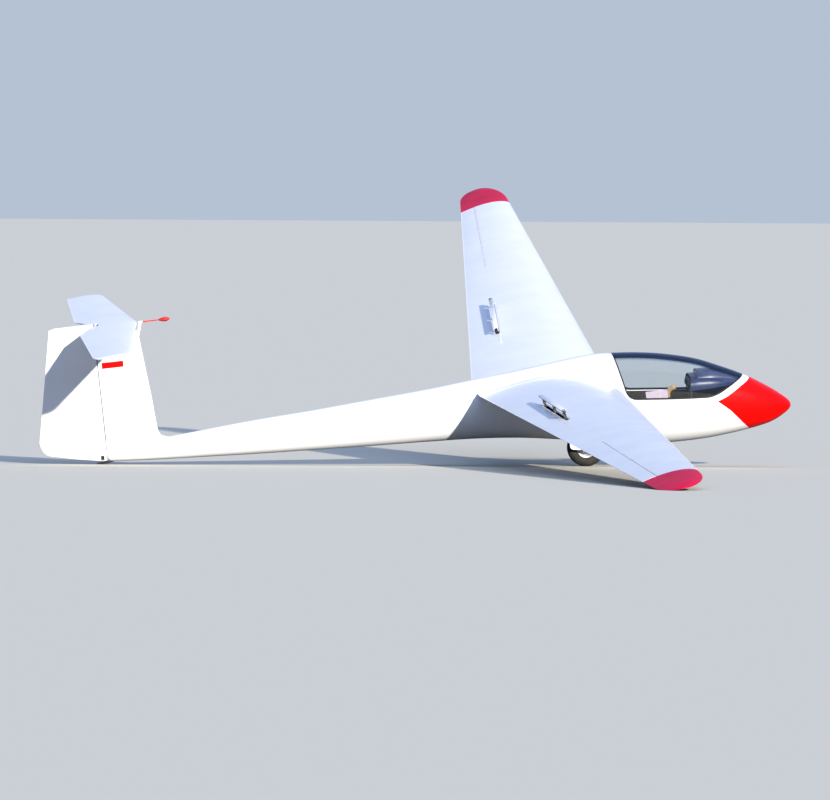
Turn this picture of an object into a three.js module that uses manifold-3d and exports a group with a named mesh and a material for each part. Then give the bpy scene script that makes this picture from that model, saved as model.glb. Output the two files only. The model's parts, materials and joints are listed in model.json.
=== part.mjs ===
// Seventeen metre sailplane glider, parked on its wheel, tail skid and right wing tip.
// Everything is drawn in the airframe's own frame, in millimetres: +X to the nose, +Y to the left
// wing tip, +Z up, with the origin where the level main wheel would touch the ground. One group
// then turns the whole airframe to the attitude that it parks in.

import * as THREE from 'three';
import { mergeVertices } from 'three/addons/utils/BufferGeometryUtils.js';
import Module from 'manifold-3d';

const wasm = await Module();
wasm.setup();

const { degToRad, lerp } = THREE.MathUtils;

// Fits shared by all pieces
const seatGap = 0.3;
const moveGap = 5;

// Fuselage
const noseX = 1939;
const tailEndX = -4456;
const wallThickness = 12;
const hullRings = 46;
const hullPoints = 40;
const cavityFrontX = 1845;
const cavityRearX = 322;

// Wing
const semiSpan = 8500;
const rootRibY = 330;
const tipJointY = 7630;
const rootThickness = 0.155;
const tipThickness = 0.13;
const camber = 0.03;
const camberPlace = 0.45;
const foilPoints = 17;
const trailingEdge = 3;

// Ailerons
const aileronInnerY = 4920;
const aileronOuterY = 7621;
const aileronEndGap = 11;
const aileronHingeFraction = 0.75;

// Airbrakes, in the frame of their slot on the wing's upper surface
const brakeInnerY = 1975;
const brakeOuterY = 3245;
const brakeFraction = 0.74;
const brakeHeight = 80;
const brakeFold = degToRad(82);
const brakeArmLength = brakeHeight / (1 - Math.cos(brakeFold));
const brakeShift = brakeArmLength * Math.sin(brakeFold);
const brakeCapWidth = 58;
const brakeCapThickness = 4;
const brakeRailHeight = 18;
const brakeRailThickness = 3;
const brakeArmWidth = 26;
const brakeArmThickness = 12;
const brakePinRadius = 4;
const brakePivotDepth = 30;
const brakeBoxDepth = 45;
const brakeBoxWall = 3;
const brakeArmSpots = { inner: -560, middle: -30, outer: 500 };

// Fin, rudder and tailplane
const rudderHingeX = -4460;
const finTopZ = 1750;
const finThickness = 0.1;
const rudderTopZ = 1857;
const rudderShelfZ = 572;
const tailplaneZ = 1826;
const tailplaneSemiSpan = 1740;
const tailplanePivotX = -4190;
const tailplaneThickness = 0.1;
const bracketLength = 84;
const bracketWidth = 26;
const tailPinRadius = 8;
const tailPinLength = 110;

// Main wheel and its well
const tyreRadius = 180;
const tyreHalfWidth = 60;
const rimRadius = 94;
const axleRadius = 10;
const forkY = 76;
const wellHalfLength = 235;
const wellHalfWidth = 98;
const wellTopZ = 402;

const paint = (color, roughness, metalness = 0) =>
  new THREE.MeshStandardMaterial({ color, roughness, metalness });
const gelcoatWhite = 0xf4f5f7;
const noseRed = 0xf00c0c;
const tipCrimson = 0xc21848;
const interiorBlack = 0x17181b;
const hoodNavy = 0x1c2c4e;
const steelGrey = 0x8b8f94;
const boxBrown = 0x3a1f18;

// Solid helpers

function signedVolume(positions, indices) {
  const a = new THREE.Vector3();
  const b = new THREE.Vector3();
  const c = new THREE.Vector3();
  let sum = 0;
  for (let i = 0; i < indices.length; i += 3) {
    a.fromArray(positions, indices[i] * 3);
    b.fromArray(positions, indices[i + 1] * 3);
    c.fromArray(positions, indices[i + 2] * 3);
    sum += a.dot(b.cross(c));
  }
  return sum / 6;
}

// A closed body through rings of equal point counts. Each end is closed by a strip that zips the
// ring's first half to its second, and the faces are turned outwards whichever way the rings run.
function loft(rings) {
  const count = rings[0].length;
  const positions = rings.flat().flatMap((p) => [p.x, p.y, p.z]);
  const indices = [];
  for (let i = 0; i < rings.length - 1; i += 1) {
    for (let j = 0; j < count; j += 1) {
      const a = i * count + j;
      const b = i * count + ((j + 1) % count);
      indices.push(a, b, b + count, a, b + count, a + count);
    }
  }
  const lastRing = (rings.length - 1) * count;
  for (let i = 0; i + 1 < count - 1 - i; i += 1) {
    const across = count - 1 - i;
    indices.push(i, across, i + 1);
    indices.push(lastRing + i, lastRing + i + 1, lastRing + across);
    if (i + 1 < across - 1) {
      indices.push(i + 1, across, across - 1);
      indices.push(lastRing + i + 1, lastRing + across - 1, lastRing + across);
    }
  }
  if (signedVolume(positions, indices) < 0) indices.reverse();
  const geometry = new THREE.BufferGeometry();
  geometry.setAttribute('position', new THREE.Float32BufferAttribute(positions, 3));
  geometry.setIndex(indices);
  return geometry;
}

function solid(geometry) {
  const bare = geometry.clone();
  bare.deleteAttribute('normal');
  bare.deleteAttribute('uv');
  const merged = mergeVertices(bare, 1e-3);
  return new wasm.Manifold(new wasm.Mesh({
    numProp: 3,
    vertProperties: Float32Array.from(merged.attributes.position.array),
    triVerts: Uint32Array.from(merged.index.array),
  }));
}

function meshGeometry(body) {
  const result = body.getMesh();
  const geometry = new THREE.BufferGeometry();
  geometry.setAttribute('position', new THREE.Float32BufferAttribute(result.vertProperties, 3));
  geometry.setIndex(Array.from(result.triVerts));
  return geometry;
}

// A side outline of [x, z] points carried from one y to another.
function sidePrism(outline, lowY, highY) {
  const shape = new THREE.Shape(outline.map(([x, z]) => new THREE.Vector2(x, z)));
  const geometry = new THREE.ExtrudeGeometry(shape, { depth: highY - lowY, bevelEnabled: false });
  return geometry.rotateX(Math.PI / 2).translate(0, highY, 0);
}

function boxBetween([x0, y0, z0], [x1, y1, z1]) {
  const geometry = new THREE.BoxGeometry(x1 - x0, y1 - y0, z1 - z0);
  return geometry.translate((x0 + x1) / 2, (y0 + y1) / 2, (z0 + z1) / 2);
}

// A cone frustum, or a cylinder, from one point to another.
function rod(from, to, fromRadius, toRadius = fromRadius, sides = 20) {
  const start = new THREE.Vector3(...from);
  const end = new THREE.Vector3(...to);
  const along = new THREE.Vector3().subVectors(end, start);
  const geometry = new THREE.CylinderGeometry(toRadius, fromRadius, along.length(), sides);
  const turn = new THREE.Quaternion().setFromUnitVectors(
    new THREE.Vector3(0, 1, 0),
    along.clone().normalize(),
  );
  const middle = start.add(end).multiplyScalar(0.5);
  return geometry.applyQuaternion(turn).translate(middle.x, middle.y, middle.z);
}

const airframe = new THREE.Group();

function addPiece(name, shape, material, parent = airframe) {
  const geometry = shape.isBufferGeometry ? shape : meshGeometry(shape);
  const mesh = new THREE.Mesh(geometry, material);
  mesh.name = name;
  parent.add(mesh);
  return mesh;
}

// Fuselage form

// A smooth curve through table rows: cubic pieces whose slopes come from the neighbouring rows.
function curveThrough(rows, place, value, at) {
  const last = rows.length - 1;
  let i = rows.findIndex((row, n) => n < last && at <= rows[n + 1][place]);
  if (i < 0) i = last - 1;
  const slope = (n) => {
    const low = rows[Math.max(n - 1, 0)];
    const high = rows[Math.min(n + 1, last)];
    return (high[value] - low[value]) / (high[place] - low[place]);
  };
  const width = rows[i + 1][place] - rows[i][place];
  const t = (at - rows[i][place]) / width;
  const startPart = (1 + 2 * t) * (1 - t) ** 2 * rows[i][value];
  const endPart = t * t * (3 - 2 * t) * rows[i + 1][value];
  const startSlope = t * (1 - t) ** 2 * width * slope(i);
  const endSlope = t * t * (t - 1) * width * slope(i + 1);
  return startPart + endPart + startSlope + endSlope;
}

// Stations from the nose aft: the top and bottom lines and the half width.
const hullTable = [
  { x: 1939, top: 364, bottom: 364, half: 0 },
  { x: 1876, top: 453, bottom: 293, half: 84 },
  { x: 1738, top: 560, bottom: 226, half: 152 },
  { x: 1567, top: 671, bottom: 190, half: 206 },
  { x: 1310, top: 799, bottom: 158, half: 257 },
  { x: 1094, top: 892, bottom: 142, half: 283 },
  { x: 799, top: 970, bottom: 141, half: 299 },
  { x: 600, top: 1005, bottom: 157, half: 302 },
  { x: 400, top: 1027, bottom: 184, half: 302 },
  { x: 146, top: 1041, bottom: 225, half: 296 },
  { x: -204, top: 1010, bottom: 280, half: 274 },
  { x: -600, top: 965, bottom: 342, half: 248 },
  { x: -987, top: 931, bottom: 380, half: 224 },
  { x: -1396, top: 892, bottom: 402, half: 203 },
  { x: -1961, top: 853, bottom: 424, half: 180 },
  { x: -2525, top: 815, bottom: 450, half: 157 },
  { x: -3089, top: 785, bottom: 476, half: 134 },
  { x: -3653, top: 741, bottom: 508, half: 102 },
  { x: -4040, top: 712, bottom: 531, half: 80 },
  { x: -4456, top: 682, bottom: 564, half: 55 },
].map((row) => ({ ...row, reach: Math.sqrt(noseX - row.x) }));
const hullRoundness = 2.2;

function hullRing(x, inset, points) {
  const reach = Math.sqrt(Math.max(noseX - x, 0));
  const top = curveThrough(hullTable, 'reach', 'top', reach) - inset;
  const bottom = curveThrough(hullTable, 'reach', 'bottom', reach) + inset;
  const half = curveThrough(hullTable, 'reach', 'half', reach) - inset;
  const middle = (top + bottom) / 2;
  const round = (value) => Math.sign(value) * Math.abs(value) ** (2 / hullRoundness);
  return Array.from({ length: points }, (_, n) => {
    const angle = (n / points) * Math.PI * 2;
    const y = half * round(Math.cos(angle));
    const z = middle + ((top - bottom) / 2) * round(Math.sin(angle));
    return new THREE.Vector3(x, y, z);
  });
}

// The hull between two stations, its skin moved in by an inset. Rings crowd towards the nose,
// because they are spaced by the square root of the distance from it.
function hullLoft(frontX, rearX, inset, rings, points) {
  const front = Math.sqrt(noseX - frontX);
  const rear = Math.sqrt(noseX - rearX);
  return solid(loft(Array.from({ length: rings }, (_, n) => {
    const reach = lerp(front, rear, n / (rings - 1));
    return hullRing(noseX - reach * reach, inset, points);
  })));
}

// Aerofoil sections, as closed rings from the trailing edge over the top to the nose and back

function foilHeights(fraction, thickness, arch) {
  const f = fraction;
  const half = 5 * thickness
    * (0.2969 * Math.sqrt(f) - 0.126 * f - 0.3516 * f ** 2 + 0.2843 * f ** 3 - 0.1036 * f ** 4);
  const middle = f < camberPlace
    ? (arch / camberPlace ** 2) * (2 * camberPlace * f - f * f)
    : (arch / (1 - camberPlace) ** 2) * (1 - 2 * camberPlace + 2 * camberPlace * f - f * f);
  return { half, middle };
}

const foilFractions = Array.from(
  { length: foilPoints },
  (_, n) => (1 - Math.cos((n / (foilPoints - 1)) * Math.PI)) / 2,
);

function foilPoint(nose, tail, up, thickness, arch, fraction, side) {
  const chord = nose.distanceTo(tail);
  const { half, middle } = foilHeights(fraction, thickness, arch);
  const height = side * Math.max(half, (trailingEdge / 2 / chord) * fraction) + middle;
  return nose.clone().lerp(tail, fraction).addScaledVector(up, height * chord);
}

function foilRing(nose, tail, up, thickness, arch) {
  const over = [...foilFractions].reverse()
    .map((f) => foilPoint(nose, tail, up, thickness, arch, f, 1));
  const under = foilFractions.slice(1)
    .map((f) => foilPoint(nose, tail, up, thickness, arch, f, -1));
  return [...over, ...under];
}

// Wing form

// The chord at a distance out from the centre line: straight edges, then elliptical tip corners.
function wingChord(spanY, side) {
  const noseCorner = 7850;
  const tailCorner = 8080;
  const round = (start, depth) => {
    const t = Math.max(0, (spanY - start) / (semiSpan - start));
    return depth * (1 - Math.sqrt(Math.max(0, 1 - t * t)));
  };
  const straightNose = 275.4 - 0.0079 * spanY;
  const straightTail = -1007.2 + 0.0954 * spanY;
  const noseOfChord = straightNose - round(noseCorner, 225);
  const tailOfChord = straightTail + round(tailCorner, 165);
  const frontZ = 776.1 + 0.0659 * spanY;
  const rearZ = 816.1 + 0.0559 * spanY;
  const zAt = (x) => lerp(frontZ, rearZ, (straightNose - x) / (straightNose - straightTail));
  return {
    nose: new THREE.Vector3(noseOfChord, side * spanY, zAt(noseOfChord)),
    tail: new THREE.Vector3(tailOfChord, side * spanY, zAt(tailOfChord)),
    thickness: lerp(rootThickness, tipThickness, (spanY - rootRibY) / (semiSpan - rootRibY)),
  };
}

const upward = new THREE.Vector3(0, 0, 1);

function wingRing(spanY, side, placedY = spanY) {
  const { nose, tail, thickness } = wingChord(spanY, side);
  nose.y = side * placedY;
  tail.y = side * placedY;
  return foilRing(nose, tail, upward, thickness, camber);
}

const wingLoft = (stations, side) => solid(loft(stations.map((y) => wingRing(y, side))));

// The cut that frees a hinged surface: a round nose about the hinge line, open to the rear.
// Each end gives the hinge point, the nose radius and how far back and wide the cut runs.
function hingeCut(ends, across, backward) {
  const arcSteps = 10;
  return solid(loft(ends.map(({ centre, radius, depth, spread }) => {
    const corner = (sign) => centre.clone()
      .addScaledVector(backward, depth)
      .addScaledVector(across, sign * spread);
    const shoulder = (sign) => centre.clone().addScaledVector(across, sign * radius);
    const arc = Array.from({ length: arcSteps - 1 }, (_, n) => {
      const angle = ((n + 1) / arcSteps) * Math.PI;
      return centre.clone()
        .addScaledVector(across, radius * Math.cos(angle))
        .addScaledVector(backward, -radius * Math.sin(angle));
    });
    return [corner(1), shoulder(1), ...arc, shoulder(-1), corner(-1)];
  })));
}

// Wing panels

function slotFrame(side) {
  const top = (spanY, fraction) => {
    const { nose, tail, thickness } = wingChord(spanY, side);
    return foilPoint(nose, tail, upward, thickness, camber, fraction, 1);
  };
  const inner = top(brakeInnerY, brakeFraction);
  const outer = top(brakeOuterY, brakeFraction);
  const middleY = (brakeInnerY + brakeOuterY) / 2;
  const chordwise = top(middleY, brakeFraction - 0.03).sub(top(middleY, brakeFraction + 0.03));
  const leftward = outer.clone().sub(inner).multiplyScalar(side).normalize();
  const normal = chordwise.clone().cross(leftward).normalize();
  const forward = leftward.clone().cross(normal);
  const middle = inner.add(outer).multiplyScalar(0.5);
  return new THREE.Matrix4().makeBasis(forward, leftward, normal).setPosition(middle);
}

function aileronEnd(spanY, side, radiusGrowth) {
  const { nose, tail, thickness } = wingChord(spanY, side);
  const chord = nose.distanceTo(tail);
  const { half, middle } = foilHeights(aileronHingeFraction, thickness, camber);
  const centre = nose.clone().lerp(tail, aileronHingeFraction)
    .addScaledVector(upward, middle * chord);
  return {
    centre,
    radius: half * chord + radiusGrowth,
    depth: chord * (1 - aileronHingeFraction) + 60,
    spread: half * chord + 40,
  };
}

const rearward = new THREE.Vector3(-1, 0, 0);
const sideways = new THREE.Vector3(0, 1, 0);

// Hinge lugs stand in slots of the moving surface, each with a pin along the hinge line.
const aileronLugSpots = [0.12, 0.5, 0.88];
const aileronPinRadius = 3;

function buildWing(side, word) {
  const stations = [rootRibY + seatGap, brakeInnerY - 100, brakeOuterY + 100, aileronInnerY, 6200];
  const panelEnd = tipJointY - seatGap / 2;
  const whole = wingLoft([...stations, panelEnd], side);
  const wide = hingeCut([
    aileronEnd(aileronInnerY - aileronEndGap, side, moveGap),
    aileronEnd(tipJointY + 20, side, moveGap),
  ], upward, rearward);
  const narrow = hingeCut([
    aileronEnd(aileronInnerY, side, 0),
    aileronEnd(aileronOuterY, side, 0),
  ], upward, rearward);

  const hingeInner = aileronEnd(aileronInnerY, side, 0);
  const hingeOuter = aileronEnd(aileronOuterY, side, 0);
  const onHinge = (t) => hingeInner.centre.clone().lerp(hingeOuter.centre, t);
  let lugs = null;
  let pockets = null;
  for (const spot of aileronLugSpots) {
    const pinReach = 0.009;
    const pocketReach = 0.0105;
    const at = onHinge(spot);
    const radius = lerp(hingeInner.radius, hingeOuter.radius, spot);
    const lugHalf = radius * 0.45;
    const lug = solid(boxBetween(
      [at.x - 4, at.y - 3, at.z - lugHalf],
      [at.x + radius + moveGap + 14, at.y + 3, at.z + lugHalf],
    ));
    const pin = solid(rod(
      onHinge(spot - pinReach).toArray(),
      onHinge(spot + pinReach).toArray(),
      aileronPinRadius,
      aileronPinRadius,
      12,
    ));
    const slot = solid(boxBetween(
      [at.x - 16, at.y - 3 - moveGap, at.z - radius * 2],
      [at.x + radius * 2, at.y + 3 + moveGap, at.z + radius * 2],
    ));
    const bore = solid(rod(
      onHinge(spot - pocketReach).toArray(),
      onHinge(spot + pocketReach).toArray(),
      aileronPinRadius + 0.5,
      aileronPinRadius + 0.5,
      12,
    ));
    const oneLug = lug.add(pin);
    const onePocket = slot.add(bore);
    lugs = lugs ? lugs.add(oneLug) : oneLug;
    pockets = pockets ? pockets.add(onePocket) : onePocket;
  }

  const frame = slotFrame(side);
  const slotHalf = (brakeOuterY - brakeInnerY) / 2;
  const boxHalfWidth = brakeCapWidth / 2 + moveGap + brakeBoxWall;
  const boxHalfLength = slotHalf + brakeBoxWall;
  const slotHole = boxBetween(
    [-boxHalfWidth - seatGap, -boxHalfLength - seatGap, -brakeBoxDepth - brakeBoxWall - seatGap],
    [boxHalfWidth + seatGap, boxHalfLength + seatGap, 40],
  ).applyMatrix4(frame);
  const panel = whole.subtract(wide).add(lugs).subtract(solid(slotHole));
  addPiece(`wing_${word}`, panel, paint(gelcoatWhite, 0.22));
  addPiece(`aileron_${word}`, whole.intersect(narrow).subtract(pockets), paint(gelcoatWhite, 0.22));

  const tipStations = [tipJointY + seatGap / 2, 7850, 7980, 8120, 8240, 8340, 8420, 8470, 8496];
  addPiece(`wing_tip_${word}`, wingLoft(tipStations, side), paint(tipCrimson, 0.25));

  // Airbrake: an open box let into the wing, three arms that fold outboard, and the cap on them.
  const slot = new THREE.Group();
  slot.applyMatrix4(frame);
  airframe.add(slot);
  const innerHalf = brakeCapWidth / 2 + moveGap;
  const tray = solid(boxBetween(
    [-boxHalfWidth, -boxHalfLength, -brakeBoxDepth - brakeBoxWall],
    [boxHalfWidth, boxHalfLength, -2],
  )).subtract(solid(boxBetween([-innerHalf, -slotHalf, -brakeBoxDepth], [innerHalf, slotHalf, 5])));
  addPiece(`airbrake_box_${word}`, tray, paint(boxBrown, 0.7), slot);

  const pinZ = brakeArmLength - brakePivotDepth;
  for (const [place, spot] of Object.entries(brakeArmSpots)) {
    const y = side * spot;
    const halfWide = brakeArmWidth / 2;
    const halfThick = brakeArmThickness / 2;
    const post = solid(boxBetween(
      [-halfWide, y - halfThick, -brakePivotDepth],
      [halfWide, y + halfThick, pinZ],
    ));
    const foot = solid(rod([-halfWide, y, -brakePivotDepth], [halfWide, y, -brakePivotDepth], 7, 7, 12));
    const head = solid(rod([-halfWide, y, pinZ], [halfWide, y, pinZ], 7, 7, 12));
    const footReach = innerHalf - seatGap;
    const footPin = solid(rod(
      [-footReach, y, -brakePivotDepth],
      [footReach, y, -brakePivotDepth],
      brakePinRadius,
      brakePinRadius,
      10,
    ));
    const headReach = brakeCapWidth / 2 - 3 - brakeRailThickness - seatGap;
    const headPin = solid(rod(
      [-headReach, y, pinZ],
      [headReach, y, pinZ],
      brakePinRadius,
      brakePinRadius,
      10,
    ));
    const arm = post.add(foot).add(head).add(footPin).add(headPin);
    addPiece(`airbrake_arm_${place}_${word}`, arm, paint(interiorBlack, 0.5, 0.3), slot);
  }

  const capEnds = [-slotHalf + moveGap, slotHalf - moveGap]
    .map((y) => y - brakeShift).map((y) => side * y).sort((a, b) => a - b);
  const capTop = brakeHeight;
  const capUnder = capTop - brakeCapThickness;
  const strip = solid(boxBetween(
    [-brakeCapWidth / 2, capEnds[0], capUnder],
    [brakeCapWidth / 2, capEnds[1], capTop],
  ));
  const railOuter = brakeCapWidth / 2 - 3;
  const rail = (x) => solid(boxBetween(
    [x, capEnds[0] + 4, capUnder - brakeRailHeight],
    [x + brakeRailThickness, capEnds[1] - 4, capUnder + 1],
  ));
  const cap = strip.add(rail(-railOuter)).add(rail(railOuter - brakeRailThickness));
  addPiece(`airbrake_cap_${word}`, cap, paint(gelcoatWhite, 0.3), slot);
}

buildWing(1, 'left');
buildWing(-1, 'right');

// Fin and rudder form: one upright aerofoil whose edges come from this table

const finTable = [
  { z: 556, front: -3850, rear: -5093 },
  { z: 724, front: -3856, rear: -5062 },
  { z: 752, front: -3926, rear: -5056 },
  { z: 805, front: -3948, rear: -5047 },
  { z: 1112, front: -3972, rear: -4990 },
  { z: 1739, front: -4037, rear: -4874 },
  { z: rudderTopZ, front: -4049, rear: -4852 },
];

const finRow = (z) => ({
  front: curveLinear(finTable, 'z', 'front', z),
  rear: curveLinear(finTable, 'z', 'rear', z),
});

function curveLinear(rows, place, value, at) {
  const i = Math.max(1, rows.findIndex((row) => at <= row[place]));
  const t = (at - rows[i - 1][place]) / (rows[i][place] - rows[i - 1][place]);
  return lerp(rows[i - 1][value], rows[i][value], t);
}

function finRing(z) {
  const { front, rear } = finRow(z);
  const nose = new THREE.Vector3(front, 0, z);
  const tail = new THREE.Vector3(rear, 0, z);
  return foilRing(nose, tail, sideways, finThickness, 0);
}

const rudderGap = moveGap + 1.2;
function rudderEnd(z, growth) {
  const { front, rear } = finRow(z);
  const fraction = (front - rudderHingeX) / (front - rear);
  const half = foilHeights(fraction, finThickness, 0).half * (front - rear);
  return {
    centre: new THREE.Vector3(rudderHingeX, 0, z),
    radius: half + growth,
    depth: rudderHingeX - rear + 60,
    spread: half + 60,
  };
}

const uprightFoil = solid(loft(finTable.map(({ z }) => finRing(z))));
const rudderGapCut = hingeCut(
  [rudderEnd(rudderShelfZ, rudderGap), rudderEnd(rudderTopZ, rudderGap)],
  sideways,
  rearward,
);
const rudderCut = hingeCut([rudderEnd(556, 0), rudderEnd(rudderTopZ, 0)], sideways, rearward);

// Rudder hinges: lugs from the fin with upright pins in slots of the rudder
const rudderLugs = [820, 1600];
const rudderPinRadius = 6;
let finLugs = null;
let rudderPockets = null;
for (const z of rudderLugs) {
  const lug = solid(boxBetween([rudderHingeX - 8, -10, z - 5], [rudderHingeX + 75, 10, z + 5]));
  const pin = solid(rod([rudderHingeX, 0, z - 32], [rudderHingeX, 0, z + 32], rudderPinRadius));
  const slot = solid(boxBetween(
    [rudderHingeX - 20, -90, z - 5 - moveGap],
    [rudderHingeX + 90, 90, z + 5 + moveGap],
  ));
  const boreRadius = rudderPinRadius + 0.6;
  const bore = solid(rod([rudderHingeX, 0, z - 36], [rudderHingeX, 0, z + 36], boreRadius));
  finLugs = finLugs ? finLugs.add(lug).add(pin) : lug.add(pin);
  rudderPockets = rudderPockets ? rudderPockets.add(slot).add(bore) : slot.add(bore);
}

const finTopAt = (x) => lerp(finTopZ + 10, finTopZ - 6, (-3700 - x) / 780);
const finOutline = [[-3700, 640], [-3700, finTopAt(-3700)], [-4480, finTopAt(-4480)], [-4480, 640]];
const hullGrown = hullLoft(noseX - 0.5, tailEndX, -seatGap, hullRings, hullPoints);
const finBody = uprightFoil
  .intersect(solid(sidePrism(finOutline, -120, 120)))
  .subtract(rudderGapCut)
  .add(finLugs)
  .subtract(hullGrown);
addPiece('fin', finBody, paint(gelcoatWhite, 0.22));

// Side outline of the rudder: raked heel, rounded lower corner and a slightly raked top
function rudderOutline() {
  const path = new THREE.Path();
  path.moveTo(-4380, rudderShelfZ + moveGap);
  path.lineTo(-4505, rudderShelfZ + 11);
  path.lineTo(-4750, 626);
  path.lineTo(-4960, 672);
  path.quadraticCurveTo(-5034, 690, -5046, 800);
  path.lineTo(-5100, 800);
  path.lineTo(-4900, 1835);
  path.quadraticCurveTo(-4850, 1835, -4810, 1853);
  path.lineTo(-4440, rudderTopZ);
  path.lineTo(-4380, rudderTopZ);
  return path.getPoints(5).map((p) => [p.x, p.y]);
}

const rudderBody = uprightFoil
  .intersect(solid(sidePrism(rudderOutline(), -120, 120)))
  .intersect(rudderCut)
  .subtract(rudderPockets);
addPiece('rudder', rudderBody, paint(gelcoatWhite, 0.22));

// Tailplane: one swept piece, notched for the rudder, turning on the pin of its bracket
const tailTable = [
  { y: -tailplaneSemiSpan, front: -4290, rear: -4530 },
  { y: -1715, front: -4254, rear: -4556 },
  { y: -1660, front: -4229, rear: -4569 },
  { y: 0, front: -4036, rear: -4602 },
  { y: 1660, front: -4229, rear: -4569 },
  { y: 1715, front: -4254, rear: -4556 },
  { y: tailplaneSemiSpan, front: -4290, rear: -4530 },
];
const tailplaneForm = solid(loft(tailTable.map(({ y, front, rear }) => foilRing(
  new THREE.Vector3(front, y, tailplaneZ),
  new THREE.Vector3(rear, y, tailplaneZ),
  upward,
  tailplaneThickness,
  0,
))));
const notch = new THREE.Shape([
  new THREE.Vector2(-4396, -62),
  new THREE.Vector2(-4396, 62),
  new THREE.Vector2(-4470, 78),
  new THREE.Vector2(-4620, 430),
  new THREE.Vector2(-4620, -430),
  new THREE.Vector2(-4470, -78),
]);
const notchCut = new THREE.ExtrudeGeometry(notch, { depth: 200, bevelEnabled: false })
  .translate(0, 0, tailplaneZ - 100);
const pocketTop = tailplaneZ + 16;
const bracketPocket = solid(boxBetween(
  [tailplanePivotX - bracketLength / 2 - 8, -bracketWidth / 2 - moveGap, tailplaneZ - 60],
  [tailplanePivotX + bracketLength / 2 + 8, bracketWidth / 2 + moveGap, pocketTop],
));
const pinEnd = tailPinLength / 2;
const tailBore = solid(rod(
  [tailplanePivotX, -pinEnd - 2, tailplaneZ],
  [tailplanePivotX, pinEnd + 2, tailplaneZ],
  tailPinRadius + 0.6,
));
const tailplaneBody = tailplaneForm.subtract(solid(notchCut)).subtract(bracketPocket)
  .subtract(tailBore);
addPiece('tailplane', tailplaneBody, paint(gelcoatWhite, 0.22));

const bladeEnds = [tailplanePivotX - bracketLength / 2, tailplanePivotX + bracketLength / 2];
const bracketBlade = solid(sidePrism([
  [bladeEnds[0], finTopAt(bladeEnds[0]) + seatGap],
  [bladeEnds[1], finTopAt(bladeEnds[1]) + seatGap],
  [tailplanePivotX + 24, tailplaneZ - 10],
  [tailplanePivotX - 24, tailplaneZ - 10],
], -bracketWidth / 2, bracketWidth / 2));
const bracketEye = solid(rod(
  [tailplanePivotX, -bracketWidth / 2, tailplaneZ - 4],
  [tailplanePivotX, bracketWidth / 2, tailplaneZ - 4],
  13,
));
const bracketPin = solid(rod(
  [tailplanePivotX, -pinEnd, tailplaneZ],
  [tailplanePivotX, pinEnd, tailplaneZ],
  tailPinRadius,
));
addPiece('tailplane_bracket', bracketBlade.add(bracketEye).add(bracketPin), paint(steelGrey, 0.45, 0.7));

// Airspeed probe: a dark gusset on the fin's leading edge, a white stub, a tube and its cover
const probeZ = 1826;
const gussetFrontX = -3996;
const finFrontAt = (z) => finRow(z).front;
const gusset = [
  [finFrontAt(1690) + 0.8, 1690],
  [gussetFrontX, probeZ - 9],
  [-4024, probeZ - 9],
  [finFrontAt(finTopZ + 8) + 0.8, finTopZ + 8],
];
addPiece('probe_gusset', sidePrism(gusset, -5, 5), paint(interiorBlack, 0.6));
addPiece('probe_stub', rod([-4026, 0, probeZ], [-3985, 0, probeZ], 8.6, 6, 24), paint(gelcoatWhite, 0.3));
addPiece('probe_tube', rod([-3985 + seatGap, 0, probeZ], [-3834, 0, probeZ], 5, 5, 16), paint(noseRed, 0.35));

function probeCover() {
  const profile = new THREE.Path();
  profile.moveTo(0, 0);
  profile.lineTo(8, 0);
  profile.quadraticCurveTo(24, 40, 19, 70);
  profile.quadraticCurveTo(12, 100, 0, 104);
  const bulb = new THREE.LatheGeometry(profile.getPoints(7), 20);
  return bulb.rotateZ(-Math.PI / 2).translate(-3834 + seatGap, 0, probeZ);
}
addPiece('probe_cover', probeCover(), paint(noseRed, 0.5));

// Tail skid: a shoe under the boom's end
const skid = [[-4380, 556], [-4436, 543.5], [-4500, 541.5], [-4536, 549], [-4540, 556], [-4442, 563.4], [-4385, 560]];
addPiece('tail_skid', solid(sidePrism(skid, -17, 17)).subtract(hullGrown), paint(steelGrey, 0.6, 0.5));

// Fuselage shell

const hullWhole = hullLoft(noseX - 0.5, tailEndX, 0, hullRings, hullPoints);
const cavity = hullLoft(cavityFrontX, cavityRearX, wallThickness, 16, 28);

// Side outline of the canopy opening, or of a line inside it by an inset
function canopyOutline(inset) {
  const path = new THREE.Path();
  path.moveTo(304 + inset, 1150);
  path.lineTo(313 + inset, 1032);
  path.lineTo(382 + inset, 716);
  path.quadraticCurveTo(402 + inset, 620 + inset, 505 + inset, 616 + inset);
  path.lineTo(882, 579 + inset);
  path.lineTo(1120, 560 + inset);
  path.quadraticCurveTo(1195 - inset * 0.4, 553 + inset, 1282 - inset * 0.5, 589 + inset);
  path.lineTo(1530 - inset, 707);
  path.lineTo(1620 - inset, 748);
  path.lineTo(1620 - inset, 1150);
  return path.getPoints(6).map((p) => [p.x, p.y]);
}
const canopyPrism = (inset) => solid(sidePrism(canopyOutline(inset), -400, 400));

// Red nose: a shell whose rear edge is a chevron seen from the side
const noseOutline = (shift) => [
  [1236 + shift, 515],
  [1335 + shift, 550],
  [1471 + shift, 623],
  [1571 + shift, 668],
  [1680 + shift, 716],
  [2100, 716],
  [2100, 60],
  [1590 + shift, 60],
  [1538 + shift, 185],
  [1449 + shift, 290],
  [1395 + shift, 359],
  [1342 + shift, 421],
];
const noseCut = (shift) => solid(sidePrism(noseOutline(shift), -400, 400));
addPiece('nose_cone', hullWhole.intersect(noseCut(0)).subtract(cavity), paint(noseRed, 0.18));

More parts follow.
